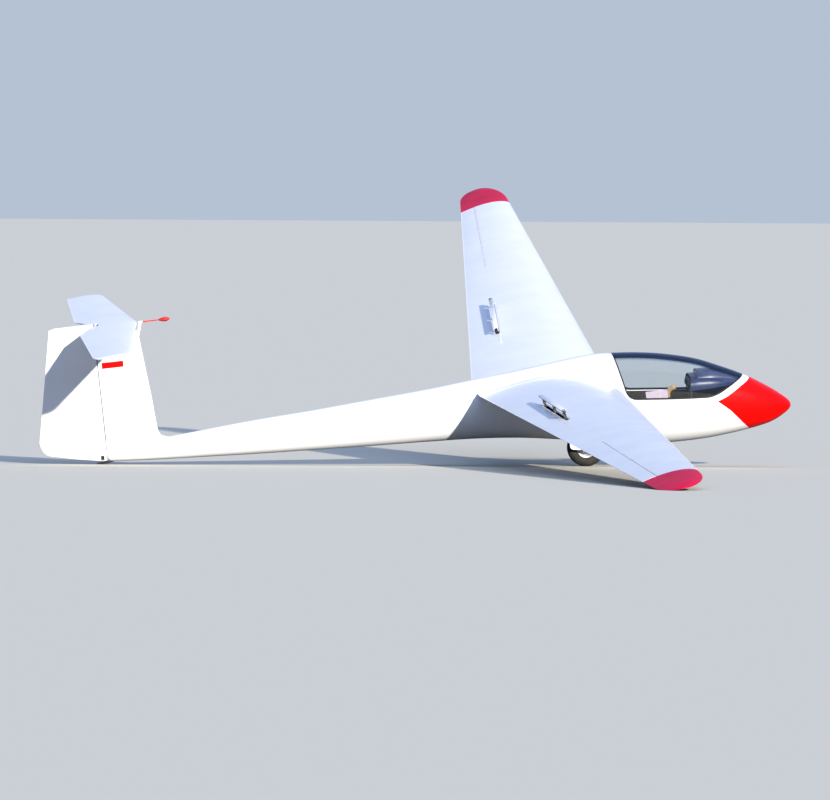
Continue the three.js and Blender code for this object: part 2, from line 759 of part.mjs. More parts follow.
const stub = solid(loft([-1, 1].map((side) => wingRing(rootRibY, side))));
const wheelWell = solid(boxBetween(
  [-wellHalfLength, -wellHalfWidth, 100],
  [wellHalfLength, wellHalfWidth, wellTopZ],
));
const fuselageWhole = hullWhole.add(stub)
  .subtract(noseCut(-0.6))
  .subtract(cavity)
  .subtract(canopyPrism(0))
  .subtract(wheelWell)
  .subtract(rudderGapCut);
// The cockpit's shell is a piece of its own, so that its collision can follow the thin walls
const tubBlock = solid(boxBetween(
  [cavityRearX + seatGap / 2, -400, 0],
  [noseX + 100, 400, 1200],
));
const aftBlock = solid(boxBetween(
  [tailEndX - 100, -400, 0],
  [cavityRearX - seatGap / 2, 400, 1200],
));
addPiece('fuselage', fuselageWhole.intersect(aftBlock), paint(gelcoatWhite, 0.22));
addPiece('cockpit_tub', fuselageWhole.intersect(tubBlock), paint(gelcoatWhite, 0.22));

// Canopy: a white frame with an inner lip, and the blown glass that lies in it
const lidGap = 0.8;
const frameBand = 20;
const glassThickness = 4;
const lipReach = 12;
const frameDepth = 14;
const skin = (from, to) => hullLoft(1700, 250, from, 18, hullPoints)
  .subtract(hullLoft(1710, 240, to, 18, hullPoints));
const band = canopyPrism(lidGap).subtract(canopyPrism(frameBand));
const lip = canopyPrism(lidGap).subtract(canopyPrism(frameBand + lipReach));
const frameBody = skin(0, frameDepth).intersect(band)
  .add(skin(glassThickness + seatGap, frameDepth).intersect(lip));
addPiece('canopy_frame', frameBody, paint(gelcoatWhite, 0.3));
const glassMaterial = paint(0x9fb0b8, 0.05);
glassMaterial.transparent = true;
glassMaterial.opacity = 0.35;
const glassBody = skin(0, glassThickness).intersect(canopyPrism(frameBand + seatGap));
addPiece('canopy_glass', glassBody, glassMaterial);

// Main wheel

function wheelRing(profilePoints) {
  const profile = new THREE.Path();
  profile.moveTo(...profilePoints[0]);
  for (const point of profilePoints.slice(1)) profile.lineTo(...point);
  return profile.getPoints(1);
}

function tyreGeometry() {
  const sectionCentre = 126;
  const crown = tyreRadius - sectionCentre;
  const steps = 14;
  const halfBase = 38;
  const outer = Array.from({ length: steps + 1 }, (_, n) => {
    const angle = lerp(-0.68, 0.68, n / steps) * Math.PI;
    const width = tyreHalfWidth * Math.sign(angle) * Math.abs(Math.sin(angle)) ** 0.9;
    return new THREE.Vector2(sectionCentre + crown * Math.cos(angle), width);
  });
  const profile = [
    new THREE.Vector2(rimRadius + seatGap, -halfBase),
    ...outer,
    new THREE.Vector2(rimRadius + seatGap, halfBase),
    new THREE.Vector2(rimRadius + seatGap, -halfBase),
  ];
  return new THREE.LatheGeometry(profile, 48).translate(0, 0, 0);
}

const wheel = new THREE.Group();
wheel.position.set(0, 0, tyreRadius);
airframe.add(wheel);
addPiece('main_tyre', meshGeometry(solid(tyreGeometry())), paint(0x141414, 0.85), wheel);

const boreRadius = axleRadius + 0.5;
const rimProfile = wheelRing([
  [boreRadius, -44], [26, -44], [30, -18], [70, -14], [80, -34], [rimRadius, -40],
  [rimRadius, 40], [80, 34], [70, 14], [30, 18], [26, 44], [boreRadius, 44], [boreRadius, -44],
]);
addPiece('main_wheel', new THREE.LatheGeometry(rimProfile, 48), paint(0xb9bcc0, 0.35, 0.8), wheel);
addPiece(
  'main_axle',
  rod([0, -forkY - 16, tyreRadius], [0, forkY + 16, tyreRadius], axleRadius, axleRadius, 24),
  paint(steelGrey, 0.35, 0.9),
);

// The fork: a leg on each side of the wheel under a plate in the well's roof
const legOutline = [
  [-26, tyreRadius - 14], [-12, tyreRadius - 28], [12, tyreRadius - 28], [26, tyreRadius - 14],
  [44, wellTopZ - seatGap], [-44, wellTopZ - seatGap],
];
const axleBore = solid(rod(
  [0, -120, tyreRadius],
  [0, 120, tyreRadius],
  axleRadius + seatGap,
  axleRadius + seatGap,
  24,
));
const forkPlate = solid(boxBetween(
  [-60, -forkY - 5, wellTopZ - 12],
  [60, forkY + 5, wellTopZ - seatGap],
));
const forkLegs = [-1, 1].map((side) => {
  const leg = sidePrism(legOutline, side * forkY - 5, side * forkY + 5);
  return solid(leg);
});
const fork = forkPlate.add(forkLegs[0]).add(forkLegs[1]).subtract(axleBore);
addPiece('gear_fork', fork, paint(steelGrey, 0.5, 0.6));

for (const [side, word] of [[1, 'left'], [-1, 'right']]) {
  // Each door hangs from its edge of the well, bowed outwards a little.
  const doorFrontX = 228;
  const doorRearX = -160;
  const doorDrop = 92;
  const doorSkin = 5;
  const doorSteps = 6;
  const doorRing = (x) => {
    const hinge = hullRing(x, 0, 400)
      .reduce((best, p) => {
        const isLower = p.z < 500 && p.y * side > 0;
        const nearer = Math.abs(p.y * side - wellHalfWidth) < Math.abs(best.y * side - wellHalfWidth);
        return isLower && nearer ? p : best;
      }, new THREE.Vector3(0, side * 1000, 0));
    const skinPoints = (offset) => Array.from({ length: doorSteps + 1 }, (_, n) => {
      const t = n / doorSteps;
      const y = wellHalfWidth + 6 + 26 * t + 9 * Math.sin(Math.PI * t) + offset;
      return new THREE.Vector3(x, side * y, hinge.z + 8 - (doorDrop + 8) * t);
    });
    return [...skinPoints(0), ...skinPoints(doorSkin).reverse()];
  };
  const door = solid(loft([doorRing(doorRearX), doorRing(40), doorRing(doorFrontX)]));
  addPiece(`gear_door_${word}`, door.subtract(hullGrown), paint(gelcoatWhite, 0.3));
}

// Tow hook under the cockpit, its lower face flat
addPiece(
  'tow_hook',
  solid(boxBetween([395, -16, 150], [465, 16, 205])).subtract(hullGrown),
  paint(steelGrey, 0.4, 0.8),
);

// Cockpit fittings, all trimmed to the inside of the shell
const cabin = hullLoft(cavityFrontX, cavityRearX, wallThickness + 2 * seatGap, 16, 28);

// The line beside a polyline of [x, z] points, at a distance to its left
function besideLine(points, distance) {
  const normals = points.slice(1).map(([x, z], n) => {
    const [x0, z0] = points[n];
    const length = Math.hypot(x - x0, z - z0);
    return [(z0 - z) / length, (x - x0) / length];
  });
  return points.map(([x, z], n) => {
    const [ax, az] = normals[Math.max(n - 1, 0)];
    const [bx, bz] = normals[Math.min(n, normals.length - 1)];
    const scale = distance / (1 + ax * bx + az * bz);
    return [x + (ax + bx) * scale, z + (az + bz) * scale];
  });
}
const slab = (line, from, to) => [...besideLine(line, from), ...besideLine(line, to).reverse()];

const seatLine = [[368, 636], [470, 372], [560, 262], [660, 226], [850, 226], [960, 288], [1010, 292]];
const seatShell = solid(sidePrism(slab(seatLine, -10, 0), -215, 215)).intersect(cabin);
addPiece('seat_shell', seatShell, paint(interiorBlack, 0.6));
const padThickness = 36;
const backLine = [[372, 625.6], [470, 372], [548, 276.7]];
const backPad = sidePrism(slab(backLine, seatGap, padThickness), -165, 165);
addPiece('back_cushion', backPad, paint(interiorBlack, 0.9));
const panLine = [[580, 254.8], [660, 226], [745, 226]];
const panPad = solid(sidePrism(slab(panLine, seatGap, padThickness), -165, 165)).intersect(cabin);
addPiece('seat_cushion', panPad, paint(interiorBlack, 0.9));

// Instrument cover: a low cowl with a raised hump on it, thin, open at the rear and below, with the
// panel standing in it
const hoodSkin = 5;
const hoodBottom = 632;
const hoodTables = {
  cowl: [
    { x: 990, top: 768, half: 208 },
    { x: 1070, top: 766, half: 207 },
    { x: 1220, top: 742, half: 190 },
    { x: 1360, top: 704, half: 146 },
    { x: 1490, top: 662, half: 74 },
  ],
  hump: [
    { x: 1056, top: 826, half: 172 },
    { x: 1150, top: 822, half: 164 },
    { x: 1280, top: 790, half: 138 },
    { x: 1400, top: 742, half: 102 },
    { x: 1500, top: 694, half: 60 },
  ],
};
const hoodRing = ({ x, top, half }, inset) => {
  const steps = 18;
  return Array.from({ length: steps + 1 }, (_, n) => {
    const angle = (n / steps) * Math.PI;
    const side = Math.sign(Math.cos(angle)) * Math.abs(Math.cos(angle)) ** 0.55;
    const rise = Math.sin(angle) ** 0.55;
    const floor = hoodBottom - inset * 4;
    return new THREE.Vector3(x, (half - inset) * side, floor + (top - inset - floor) * rise);
  });
};
const hoodForm = (inset) => {
  const lofted = (table, rearShift) => solid(loft(table.map((row, n) => {
    const shift = n === 0 ? rearShift : n === table.length - 1 ? -inset : 0;
    return hoodRing({ ...row, x: row.x + shift }, inset);
  })));
  return lofted(hoodTables.cowl, inset * -2)
    .add(lofted(hoodTables.hump, inset))
    .intersect(hullLoft(cavityFrontX, cavityRearX, 21 + inset, 16, 28));
};
addPiece('instrument_cover', hoodForm(0).subtract(hoodForm(hoodSkin)), paint(hoodNavy, 0.35));

const panelFront = 1014;
const panelRear = 1000;
const panelFace = (inset) => solid(loft([panelRear, panelFront].map((x) => (
  hoodRing({ x, top: 766, half: 207 }, hoodSkin + inset)
))));
const panelBody = panelFace(seatGap)
  .add(solid(boxBetween([panelRear, -160, 420], [panelFront, 160, 620])))
  .add(solid(boxBetween([panelRear, -60, 292.3], [panelFront + 30, 60, 440])));
addPiece('instrument_panel', panelBody, paint(interiorBlack, 0.5));

const stickFoot = rod([804, 0, 226 + seatGap], [804, 0, 252], 34, 26);
const stickTube = rod([804, 0, 252 + seatGap], [806, 0, 560], 11);
const gripCurve = new THREE.CatmullRomCurve3([
  new THREE.Vector3(806.1, 0, 560.8),
  new THREE.Vector3(808.5, 0, 600),
  new THREE.Vector3(846, 0, 640),
  new THREE.Vector3(884, 0, 652),
]);
const gripSection = new THREE.Shape().absarc(0, 0, 15, 0, Math.PI * 2);
const grip = new THREE.ExtrudeGeometry(gripSection, { steps: 8, curveSegments: 6, extrudePath: gripCurve });
addPiece('stick_boot', stickFoot, paint(interiorBlack, 0.9));
addPiece('control_stick', stickTube, paint(steelGrey, 0.4, 0.6));
addPiece('stick_grip', grip, paint(0xb08a55, 0.7));

// A folded chart stands in the side pocket on the right wall.
const pocket = solid(boxBetween([560, -320, 510], [792, -258, 580])).intersect(cabin);
addPiece('side_pocket', pocket, paint(interiorBlack, 0.8));
addPiece('folded_chart', boxBetween([574, -268, 580 + seatGap], [776, -262, 660]), paint(0xe6dbe2, 0.9));

// Airbrake lever on the left wall
const lever = solid(rod([690, 300, 470], [760, 214, 520], 9, 12, 16)).intersect(cabin);
addPiece('airbrake_lever', lever, paint(0x2255aa, 0.5));

// Parking attitude: the plane through the lowest points of tyre, skid and right tip becomes level.

function lowestPoint(names, normal) {
  airframe.updateMatrixWorld(true);
  let best = null;
  airframe.traverse((mesh) => {
    if (!names.includes(mesh.name)) return;
    const places = mesh.geometry.attributes.position;
    for (let i = 0; i < places.count; i += 1) {
      const p = new THREE.Vector3().fromBufferAttribute(places, i).applyMatrix4(mesh.matrixWorld);
      if (!best || p.dot(normal) < best.dot(normal)) best = p;
    }
  });
  return best;
}

const groundNormal = new THREE.Vector3(0.12, -0.14, 0.98).normalize();
for (let pass = 0; pass < 12; pass += 1) {
  const [tyre, shoe, tip] = ['main_tyre', 'tail_skid', 'wing_tip_right']
    .map((name) => lowestPoint([name], groundNormal));
  groundNormal.crossVectors(shoe.sub(tyre), tip.sub(tyre)).normalize();
  if (groundNormal.z < 0) groundNormal.negate();
}
const groundLeft = groundNormal.clone().cross(new THREE.Vector3(1, 0, 0)).normalize();
const groundForward = groundLeft.clone().cross(groundNormal);
const stand = new THREE.Matrix4().makeBasis(groundForward, groundLeft, groundNormal).transpose();
airframe.applyMatrix4(stand);

const glider = new THREE.Group();
glider.add(airframe);
glider.updateMatrixWorld(true);
const reachBox = new THREE.Box3().setFromObject(glider, true);
const boxCentre = reachBox.getCenter(new THREE.Vector3());
glider.position.set(-boxCentre.x, -boxCentre.y, -reachBox.min.z);

export default glider;
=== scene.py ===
import json
import math

import bmesh
import bpy
import numpy as np
from mathutils import Matrix, Vector


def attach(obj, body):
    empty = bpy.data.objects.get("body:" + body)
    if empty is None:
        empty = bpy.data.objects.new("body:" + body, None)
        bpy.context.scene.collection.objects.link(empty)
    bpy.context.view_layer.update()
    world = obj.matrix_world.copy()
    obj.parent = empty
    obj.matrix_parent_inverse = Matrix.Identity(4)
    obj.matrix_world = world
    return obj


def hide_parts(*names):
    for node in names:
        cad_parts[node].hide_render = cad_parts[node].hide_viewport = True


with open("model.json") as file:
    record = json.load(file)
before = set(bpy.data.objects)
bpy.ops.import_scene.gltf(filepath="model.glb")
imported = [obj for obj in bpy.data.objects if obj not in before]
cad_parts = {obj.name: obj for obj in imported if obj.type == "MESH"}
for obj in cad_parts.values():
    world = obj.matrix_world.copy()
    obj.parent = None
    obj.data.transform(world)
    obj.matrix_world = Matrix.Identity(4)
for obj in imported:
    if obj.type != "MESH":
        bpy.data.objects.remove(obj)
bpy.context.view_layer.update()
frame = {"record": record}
joints = {joint["name"]: joint for joint in frame["record"]["behaviour"]["joints"]}


def unit(vector):
    vector = np.asarray(vector, float)
    return vector / np.linalg.norm(vector, axis=-1, keepdims=True)


# The airframe's own axes, read off two joints: +X to the nose, +Y to the left tip, +Z up, with the
# origin under the main wheel. Every piece is drawn in millimetres in these axes.
tyreRadius = 180
leftward = unit(joints["wheel_spin"]["axis"])
upward = unit(joints["rudder_hinge"]["axis"])
axes = np.column_stack([np.cross(leftward, upward), leftward, upward])
groundPoint = np.array(joints["wheel_spin"]["pos_m"]) - upward * tyreRadius * 0.001
rearward, sideward, skyward = np.array([[-1.0, 0, 0], [0, 1.0, 0], [0, 0, 1.0]])
sides = ((1, "left"), (-1, "right"))


def place(points):
    return np.asarray(points, float) * 0.001 @ axes.T + groundPoint


# Mesh helpers


def linked(name, data):
    thing = bpy.data.objects.new(name, data)
    bpy.context.scene.collection.objects.link(thing)
    return thing


# A surface through a grid of points. Its rows may close on themselves, its columns too, and the
# first and last row may be capped.
def gridObject(name, points, closeRows=True, capEnds=True, closeColumns=False):
    points = np.asarray(points, float)
    index = np.arange(points[..., 0].size).reshape(points.shape[:2])
    caps = [index[0][::-1].tolist(), index[-1].tolist()] if capEnds and not closeColumns else []
    if closeRows:
        index = np.hstack([index, index[:, :1]])
    if closeColumns:
        index = np.vstack([index, index[:1]])
    quads = np.stack([index[:-1, :-1], index[:-1, 1:], index[1:, 1:], index[1:, :-1]], axis=-1)
    mesh = bpy.data.meshes.new(name)
    mesh.from_pydata(points.reshape(-1, 3).tolist(), [], quads.reshape(-1, 4).tolist() + caps)
    bm = bmesh.new()
    bm.from_mesh(mesh)
    bmesh.ops.recalc_face_normals(bm, faces=bm.faces)
    bm.to_mesh(mesh)
    bm.free()
    return linked(name, mesh)


def vertsOf(thing):
    coords = np.empty(len(thing.data.vertices) * 3)
    thing.data.vertices.foreach_get("co", coords)
    return coords.reshape(-1, 3)


def setVerts(thing, coords):
    thing.data.vertices.foreach_set("co", coords.ravel())
    thing.data.update()
    return thing


def bake(thing):
    depsgraph = bpy.context.evaluated_depsgraph_get()
    mesh = bpy.data.meshes.new_from_object(thing.evaluated_get(depsgraph))
    thing.modifiers.clear()
    old = thing.data
    thing.data = mesh
    bpy.data.meshes.remove(old)
    return thing


def combine(target, tools, operation="DIFFERENCE", keepTools=False):
    for tool in tools:
        cut = target.modifiers.new("cut", "BOOLEAN")
        cut.operation = operation
        cut.object = tool
        cut.solver = "EXACT"
    bake(target)
    if not keepTools:
        for tool in tools:
            bpy.data.objects.remove(tool)
    return target


def soften(thing, width, segments=2):
    bevel = thing.modifiers.new("edges", "BEVEL")
    bevel.width = width
    bevel.segments = segments
    bevel.limit_method = "ANGLE"
    bevel.angle_limit = math.radians(35)
    return bake(thing)


# Several forms of one material, kept as one mesh
def merged(name, things):
    bm = bmesh.new()
    for thing in things:
        bm.from_mesh(thing.data)
        bpy.data.objects.remove(thing)
    mesh = bpy.data.meshes.new(name)
    bm.to_mesh(mesh)
    bm.free()
    return linked(name, mesh)


# An outline of side-view (x, z) points carried from one y to another
def sidePrism(name, outline, lowY, highY):
    outline = np.asarray(outline, float)
    low = np.column_stack([outline[:, 0], np.full(len(outline), lowY), outline[:, 1]])
    return gridObject(name, [low, low + [0, highY - lowY, 0]])


def boxObject(name, low, high):
    (x0, y0, z0), (x1, y1, z1) = low, high
    return sidePrism(name, [(x0, z0), (x1, z0), (x1, z1), (x0, z1)], y0, y1)


# Spokes of a circle square to an axis: cosine of the turn along one side, sine along the other
def spokesAbout(axis, count):
    helper = [0, 0, 1] if abs(axis[2]) < 0.9 else [1, 0, 0]
    across = unit(np.cross(axis, helper))
    turn = np.linspace(0, 2 * np.pi, count, endpoint=False)
    return np.outer(np.cos(turn), across) + np.outer(np.sin(turn), np.cross(axis, across))


# A round bar between two points. Its profile is (place along it from 0 to 1, radius).
def barObject(name, start, end, profile, count=32):
    start, end = np.asarray(start, float), np.asarray(end, float)
    along = unit(end - start)
    at, radius = np.asarray(profile, float).T[:, :, None, None]
    reach = along * np.linalg.norm(end - start) * at
    return gridObject(name, start + reach + spokesAbout(along, count) * radius)


# A closed profile of (radius, place along the axis) turned about an axis
def latheObject(name, profile, centre, axis, count=96):
    profile = np.asarray(profile, float)
    axis = unit(axis)
    spokes = spokesAbout(axis, count)[:, None]
    points = np.asarray(centre) + profile[None, :, 1:] * axis + spokes * profile[None, :, :1]
    return gridObject(name, points, closeColumns=True)


# A closed section swept along a path. The section's first number runs along sideRef.
def sweepObject(name, path, section, sideRef, closePath=False):
    path, section = np.asarray(path, float), np.asarray(section, float)
    if closePath:
        tangent = unit(np.roll(path, -1, axis=0) - np.roll(path, 1, axis=0))
    else:
        tangent = unit(np.gradient(path, axis=0))
    side = np.broadcast_to(np.asarray(sideRef, float), path.shape)
    side = unit(side - tangent * np.sum(side * tangent, axis=1)[:, None])
    lift = np.cross(tangent, side)
    rings = side[:, None] * section[None, :, :1] + lift[:, None] * section[None, :, 1:]
    return gridObject(name, path[:, None] + rings, closeColumns=closePath)


def circleSection(radius, count=10):
    turn = np.linspace(0, 2 * np.pi, count, endpoint=False)
    return np.column_stack([np.cos(turn), np.sin(turn)]) * radius


# A hexagon head with its chamfer, standing on a face
def boltObject(foot, axis, radius, height):
    foot = np.asarray(foot, float)
    head = [(0, radius), (0.78, radius), (1, radius * 0.84)]
    return barObject("bolt", foot, foot + unit(axis) * height, head, 6)


# Cubic pieces through table values, with slopes from the neighbouring rows
def curveThrough(places, values, at):
    places, values, at = (np.asarray(a, float) for a in (places, values, at))
    slopes = np.empty_like(values)
    slopes[1:-1] = (values[2:] - values[:-2]) / (places[2:] - places[:-2])
    slopes[0] = (values[1] - values[0]) / (places[1] - places[0])
    slopes[-1] = (values[-1] - values[-2]) / (places[-1] - places[-2])
    i = np.clip(np.searchsorted(places, at) - 1, 0, len(places) - 2)
    width = places[i + 1] - places[i]
    t = (at - places[i]) / width
    return (
        (1 + 2 * t) * (1 - t) ** 2 * values[i]
        + t * t * (3 - 2 * t) * values[i + 1]
        + t * (1 - t) ** 2 * width * slopes[i]
        + t * t * (t - 1) * width * slopes[i + 1]
    )


# A smooth curve through a few points, sampled evenly in its own parameter
def smoothPath(points, steps):
    points = np.asarray(points, float)
    run = np.concatenate([[0], np.cumsum(np.linalg.norm(np.diff(points, axis=0), axis=1))])
    at = np.linspace(0, run[-1], steps)
    return np.column_stack([curveThrough(run, column, at) for column in points.T])


# A quadratic corner from one point to the next around a control point
def corner(start, control, end, steps=8):
    t = np.linspace(0, 1, steps + 1)[1:, None]
    start, control, end = (np.asarray(p, float) for p in (start, control, end))
    return ((1 - t) ** 2 * start + 2 * t * (1 - t) * control + t**2 * end).tolist()


# Moves a finished piece to the parked attitude, shades it, hangs it on its body and hides the nodes
# that it stands for. A second material goes to the faces whose centres the function where picks.
def settle(
    thing, material, slot, *replaced,
    body="airframe", smooth=35, padded=None, second=None, where=None,
):
    mesh = thing.data
    centres = np.empty(len(mesh.polygons) * 3)
    mesh.polygons.foreach_get("center", centres)
    setVerts(thing, place(vertsOf(thing)))
    mesh.polygons.foreach_set("use_smooth", np.full(len(mesh.polygons), smooth > 0))
    if smooth > 0:
        mesh.set_sharp_from_angle(angle=math.radians(smooth))
    mesh.materials.clear()
    mesh.materials.append(material)
    if second:
        mesh.materials.append(second)
        picked = where(centres.reshape(-1, 3)).astype(np.int32)
        mesh.polygons.foreach_set("material_index", picked)
    mesh.update()
    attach(thing, body)
    if replaced:
        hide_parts(*replaced)


# Material helpers


def linear(code):
    channels = [int(code[n : n + 2], 16) / 255 for n in (0, 2, 4)]
    curve = [c / 12.92 if c <= 0.04045 else ((c + 0.055) / 1.055) ** 2.4 for c in channels]
    return (*curve, 1.0)


# Adds a node with its settings and links, and gives back one of its outputs. A setting is an input
# or a property, and stops are a ramp's two (position, hex colour) pairs.
def addNode(tree, kind, settings=None, links=None, output=0):
    node = tree.nodes.new("ShaderNode" + kind)
    for key, value in (settings or {}).items():
        if key == "stops":
            for stop, (position, code) in zip(node.color_ramp.elements, value):
                stop.position, stop.color = position, linear(code)
        elif isinstance(key, int) or key in node.inputs:
            node.inputs[key].default_value = value
        else:
            setattr(node, key, value)
    for key, source in (links or {}).items():
        tree.links.new(source, node.inputs[key])
    return node.outputs[output]


def newMaterial(name, settings):
    material = bpy.data.materials.new(name)
    material.use_nodes = True
    tree = material.node_tree
    shader = tree.nodes["Principled BSDF"]
    for key, value in settings.items():
        shader.inputs[key].default_value = value
    return material, tree, shader.inputs, addNode(tree, "TexCoord", output="Object")


# Two crossed sets of threads, so many to the metre: the product of two sine waves plus a third
def weave(tree, coords, threads):
    turns = {"operation": "SCALE", "Scale": threads * 2 * math.pi}
    scaled = addNode(tree, "VectorMath", turns, {0: coords})
    waves = []
    for axis in "XYZ":
        part = addNode(tree, "SeparateXYZ", {}, {0: scaled}, axis)
        waves.append(addNode(tree, "Math", {"operation": "SINE"}, {0: part}))
    crossed = addNode(tree, "Math", {"operation": "MULTIPLY"}, {0: waves[0], 1: waves[1]})
    return addNode(tree, "Math", {"operation": "ADD"}, {0: crossed, 1: waves[2]})


# Lays up a finish. Noises are (features to the metre, detail, roughness), and the first one carries
# the base colour between two tones. Gloss is (noise, low, high, roughness at low, at high). Bumps
# are (noise, depth in metres, strength), each on top of the one before it.
def layUp(name, settings, noises, tones, gloss, bumps, threads=0):
    material, tree, shader, coords = newMaterial(name, settings)
    fields = []
    for values in noises:
        noise = dict(zip(("Scale", "Detail", "Roughness"), values))
        fields.append(addNode(tree, "TexNoise", noise, {"Vector": coords}))
    if threads:
        fields.append(weave(tree, coords, threads))
    base = addNode(tree, "ValToRGB", {"stops": tones}, {0: fields[0]})
    tree.links.new(base, shader["Base Color"])
    if gloss:
        limits = dict(zip((1, 2, 3, 4), gloss[1:]))
        rough = addNode(tree, "MapRange", limits, {0: fields[gloss[0]]})
        tree.links.new(rough, shader["Roughness"])
    under = {}
    for field, depth, strength in bumps:
        size = {"Distance": depth, "Strength": strength}
        under = {"Normal": addNode(tree, "Bump", size, {"Height": fields[field], **under})}
    tree.links.new(under["Normal"], shader["Normal"])
    return material


# Sprayed and polished polyester: chalky patches half a metre across, long filler waves under the
# coat, and the spray's orange peel, drawn 4 mm across
def gelcoat(name, color, shade, roughness, coat, level):
    settings = {"IOR": 1.52, "Specular IOR Level": level}
    settings |= {"Coat Weight": coat, "Coat Roughness": 0.06, "Coat IOR": 1.5}
    noises = [(2.2, 5.0, 0.6), (5.0, 2.0), (3.4, 2.0), (240.0, 2.0)]
    gloss = (1, 0.3, 0.72, roughness * 0.95, roughness * 1.1)
    bumps = [(2, 0.0006, 0.25), (3, 0.00003, 0.15)]
    return layUp(name, settings, noises, [(0.32, shade), (0.7, color)], gloss, bumps)


# Anything moulded, cast, plated or painted: worn, dusty places 70 mm across are paler than the
# rest, and a grain of so many to the metre breaks the shine
def worn(name, color, shade, roughness, grain, depth, metallic=0.0, level=0.5):
    settings = {"IOR": 1.5, "Metallic": metallic, "Specular IOR Level": level}
    gloss = (0, 0.3, 0.75, roughness * 0.85, roughness * 1.2)
    noises = [(14.0, 6.0, 0.65), (grain, 3.0)]
    return layUp(name, settings, noises, [(0.38, color), (0.72, shade)], gloss, [(1, depth, 1.0)])


# Woven cloth with a sheen along the nap. Its threads are 1 to 2 mm, about twice the real ones, so
# that they show.
def cloth(name, color, shade, threads, depth, sheen):
    settings = {"Roughness": 0.9, "Sheen Weight": sheen, "Sheen Roughness": 0.4, "IOR": 1.45}
    tones = [(0.35, color), (0.7, shade)]
    return layUp(name, settings, [(9.0, 6.0)], tones, None, [(1, depth, 1.0)], threads)


# A clean cool white with a soft shine, a grey painted shade for its joints, a wet red and a chalky
# red tinted crimson as painted sky light
whiteGelcoat = gelcoat("white gelcoat, polished", "f3f5f8", "eaeef3", 0.2, 0.2, 0.5)
gapShadeGelcoat = gelcoat(
    "white gelcoat, greyed as painted shade in the gaps", "b9bdc4", "aeb2b9", 0.5, 0.0, 0.2
)
redGelcoat = gelcoat("signal red lacquer, polished", "f00402", "d40202", 0.24, 0.35, 0.1)
# Red lacquer tinted crimson: a painted blue sky light over the real red
redWithPaintedSkyTint = gelcoat("red lacquer, tinted crimson by painted sky light", "d00a40", "b80836", 0.42, 0.0, 0.12)

# Near black laminate that hardly shines; on the inner faces of the cockpit and wheel well it is
# also painted shade, so the cockpit reads as a dark hollow
blackLaminateAndHollowShade = worn(
    "black glass cloth laminate, semi-matt", "101113", "1b1c1f", 0.6, 420.0, 0.0003, level=0.12
)
# Black with a hard shine and brownish worn edges
blackEnamel = worn("black stove enamel, chipped", "15151a", "33302e", 0.42, 300.0, 0.0002)
brownVarnish = worn("varnished plywood, dark brown", "3b2018", "5a3826", 0.5, 160.0, 0.0003)
bluePlastic = worn("moulded blue plastic, satin", "1f4c9c", "2b5cae", 0.4, 500.0, 0.0001)
# Navy with a broad soft shine and a fine skin grain
navyVinyl = worn("navy vinyl cover, satin", "13204a", "182a58", 0.34, 700.0, 0.00025)
dialBlack = worn("matt black dial paint", "0b0b0c", "121214", 0.7, 900.0, 0.00005)
whitePaint = worn("white dial enamel", "e6e6e0", "f2f2ec", 0.5, 900.0, 0.00005)
# Dull black rubber with grey dust, and the paler rubber of seals, which also paints the grey shade
# in gaps and grooves
rubber = worn("tyre rubber, dusty", "1a1a1a", "3a3835", 0.82, 260.0, 0.0004)
greyRubberAndGapShade = worn("grey rubber bead", "6d737b", "868c93", 0.7, 500.0, 0.0002)
# Cold grey metal with a blurred shine, and a brighter one with the skin of the sand mould
zincSteel = worn("zinc plated steel, dull", "8d9196", "a8abad", 0.38, 240.0, 0.0001, metallic=0.95)
castAlloy = worn(
    "sand cast alloy, painted silver", "b4b7ba", "cdd0d2", 0.42, 320.0, 0.0003, metallic=0.8
)
redTape = worn("red fabric tape", "c41a12", "a8140e", 0.6, 600.0, 0.0002)
tanLeather = worn("tan leather, hand worn", "a88a62", "846a48", 0.55, 600.0, 0.0004)
# Matt cloths with a lint-grey edge where the eye runs along them
seatCloth = cloth("black upholstery cloth", "121317", "23252b", 900.0, 0.0002, 0.35)
webbing = cloth("blue grey harness webbing", "2a3858", "3c4c70", 600.0, 0.0003, 0.3)
bootCloth = cloth("black boot fabric", "101012", "1d1e21", 700.0, 0.0002, 0.15)
tapeWhite = cloth(
    "white cloth tape, greyed by weather", "d3d6dd", "c4c8d0", 500.0, 0.0001, 0.0
)


# Clear with a faint blue where the eye meets it squarely; towards grazing its colour is painted
# navy, a dark reflection painted along the sheet
def acrylic():
    settings = {"Transmission Weight": 1.0, "IOR": 1.49, "Roughness": 0.0}
    material, tree, shader, coords = newMaterial(
        "clear acrylic, painted navy reflection at grazing", settings
    )
    graze = addNode(tree, "LayerWeight", {"Blend": 0.5}, {}, "Facing")
    # The ramp on facing paints the navy reflection towards grazing
    tint = addNode(tree, "ValToRGB", {"stops": [(0.33, "f4f9fb"), (0.43, "14264a")]}, {0: graze})
    tree.links.new(tint, shader["Base Color"])
    # The sun reaches the cockpit through the sheet
    shadow = addNode(tree, "LightPath", output="Is Shadow Ray")
    clear = addNode(tree, "MapRange", {1: 0.0, 2: 1.0, 3: 1.0, 4: 0.08}, {0: shadow})
    tree.links.new(clear, shader["Alpha"])
    return material


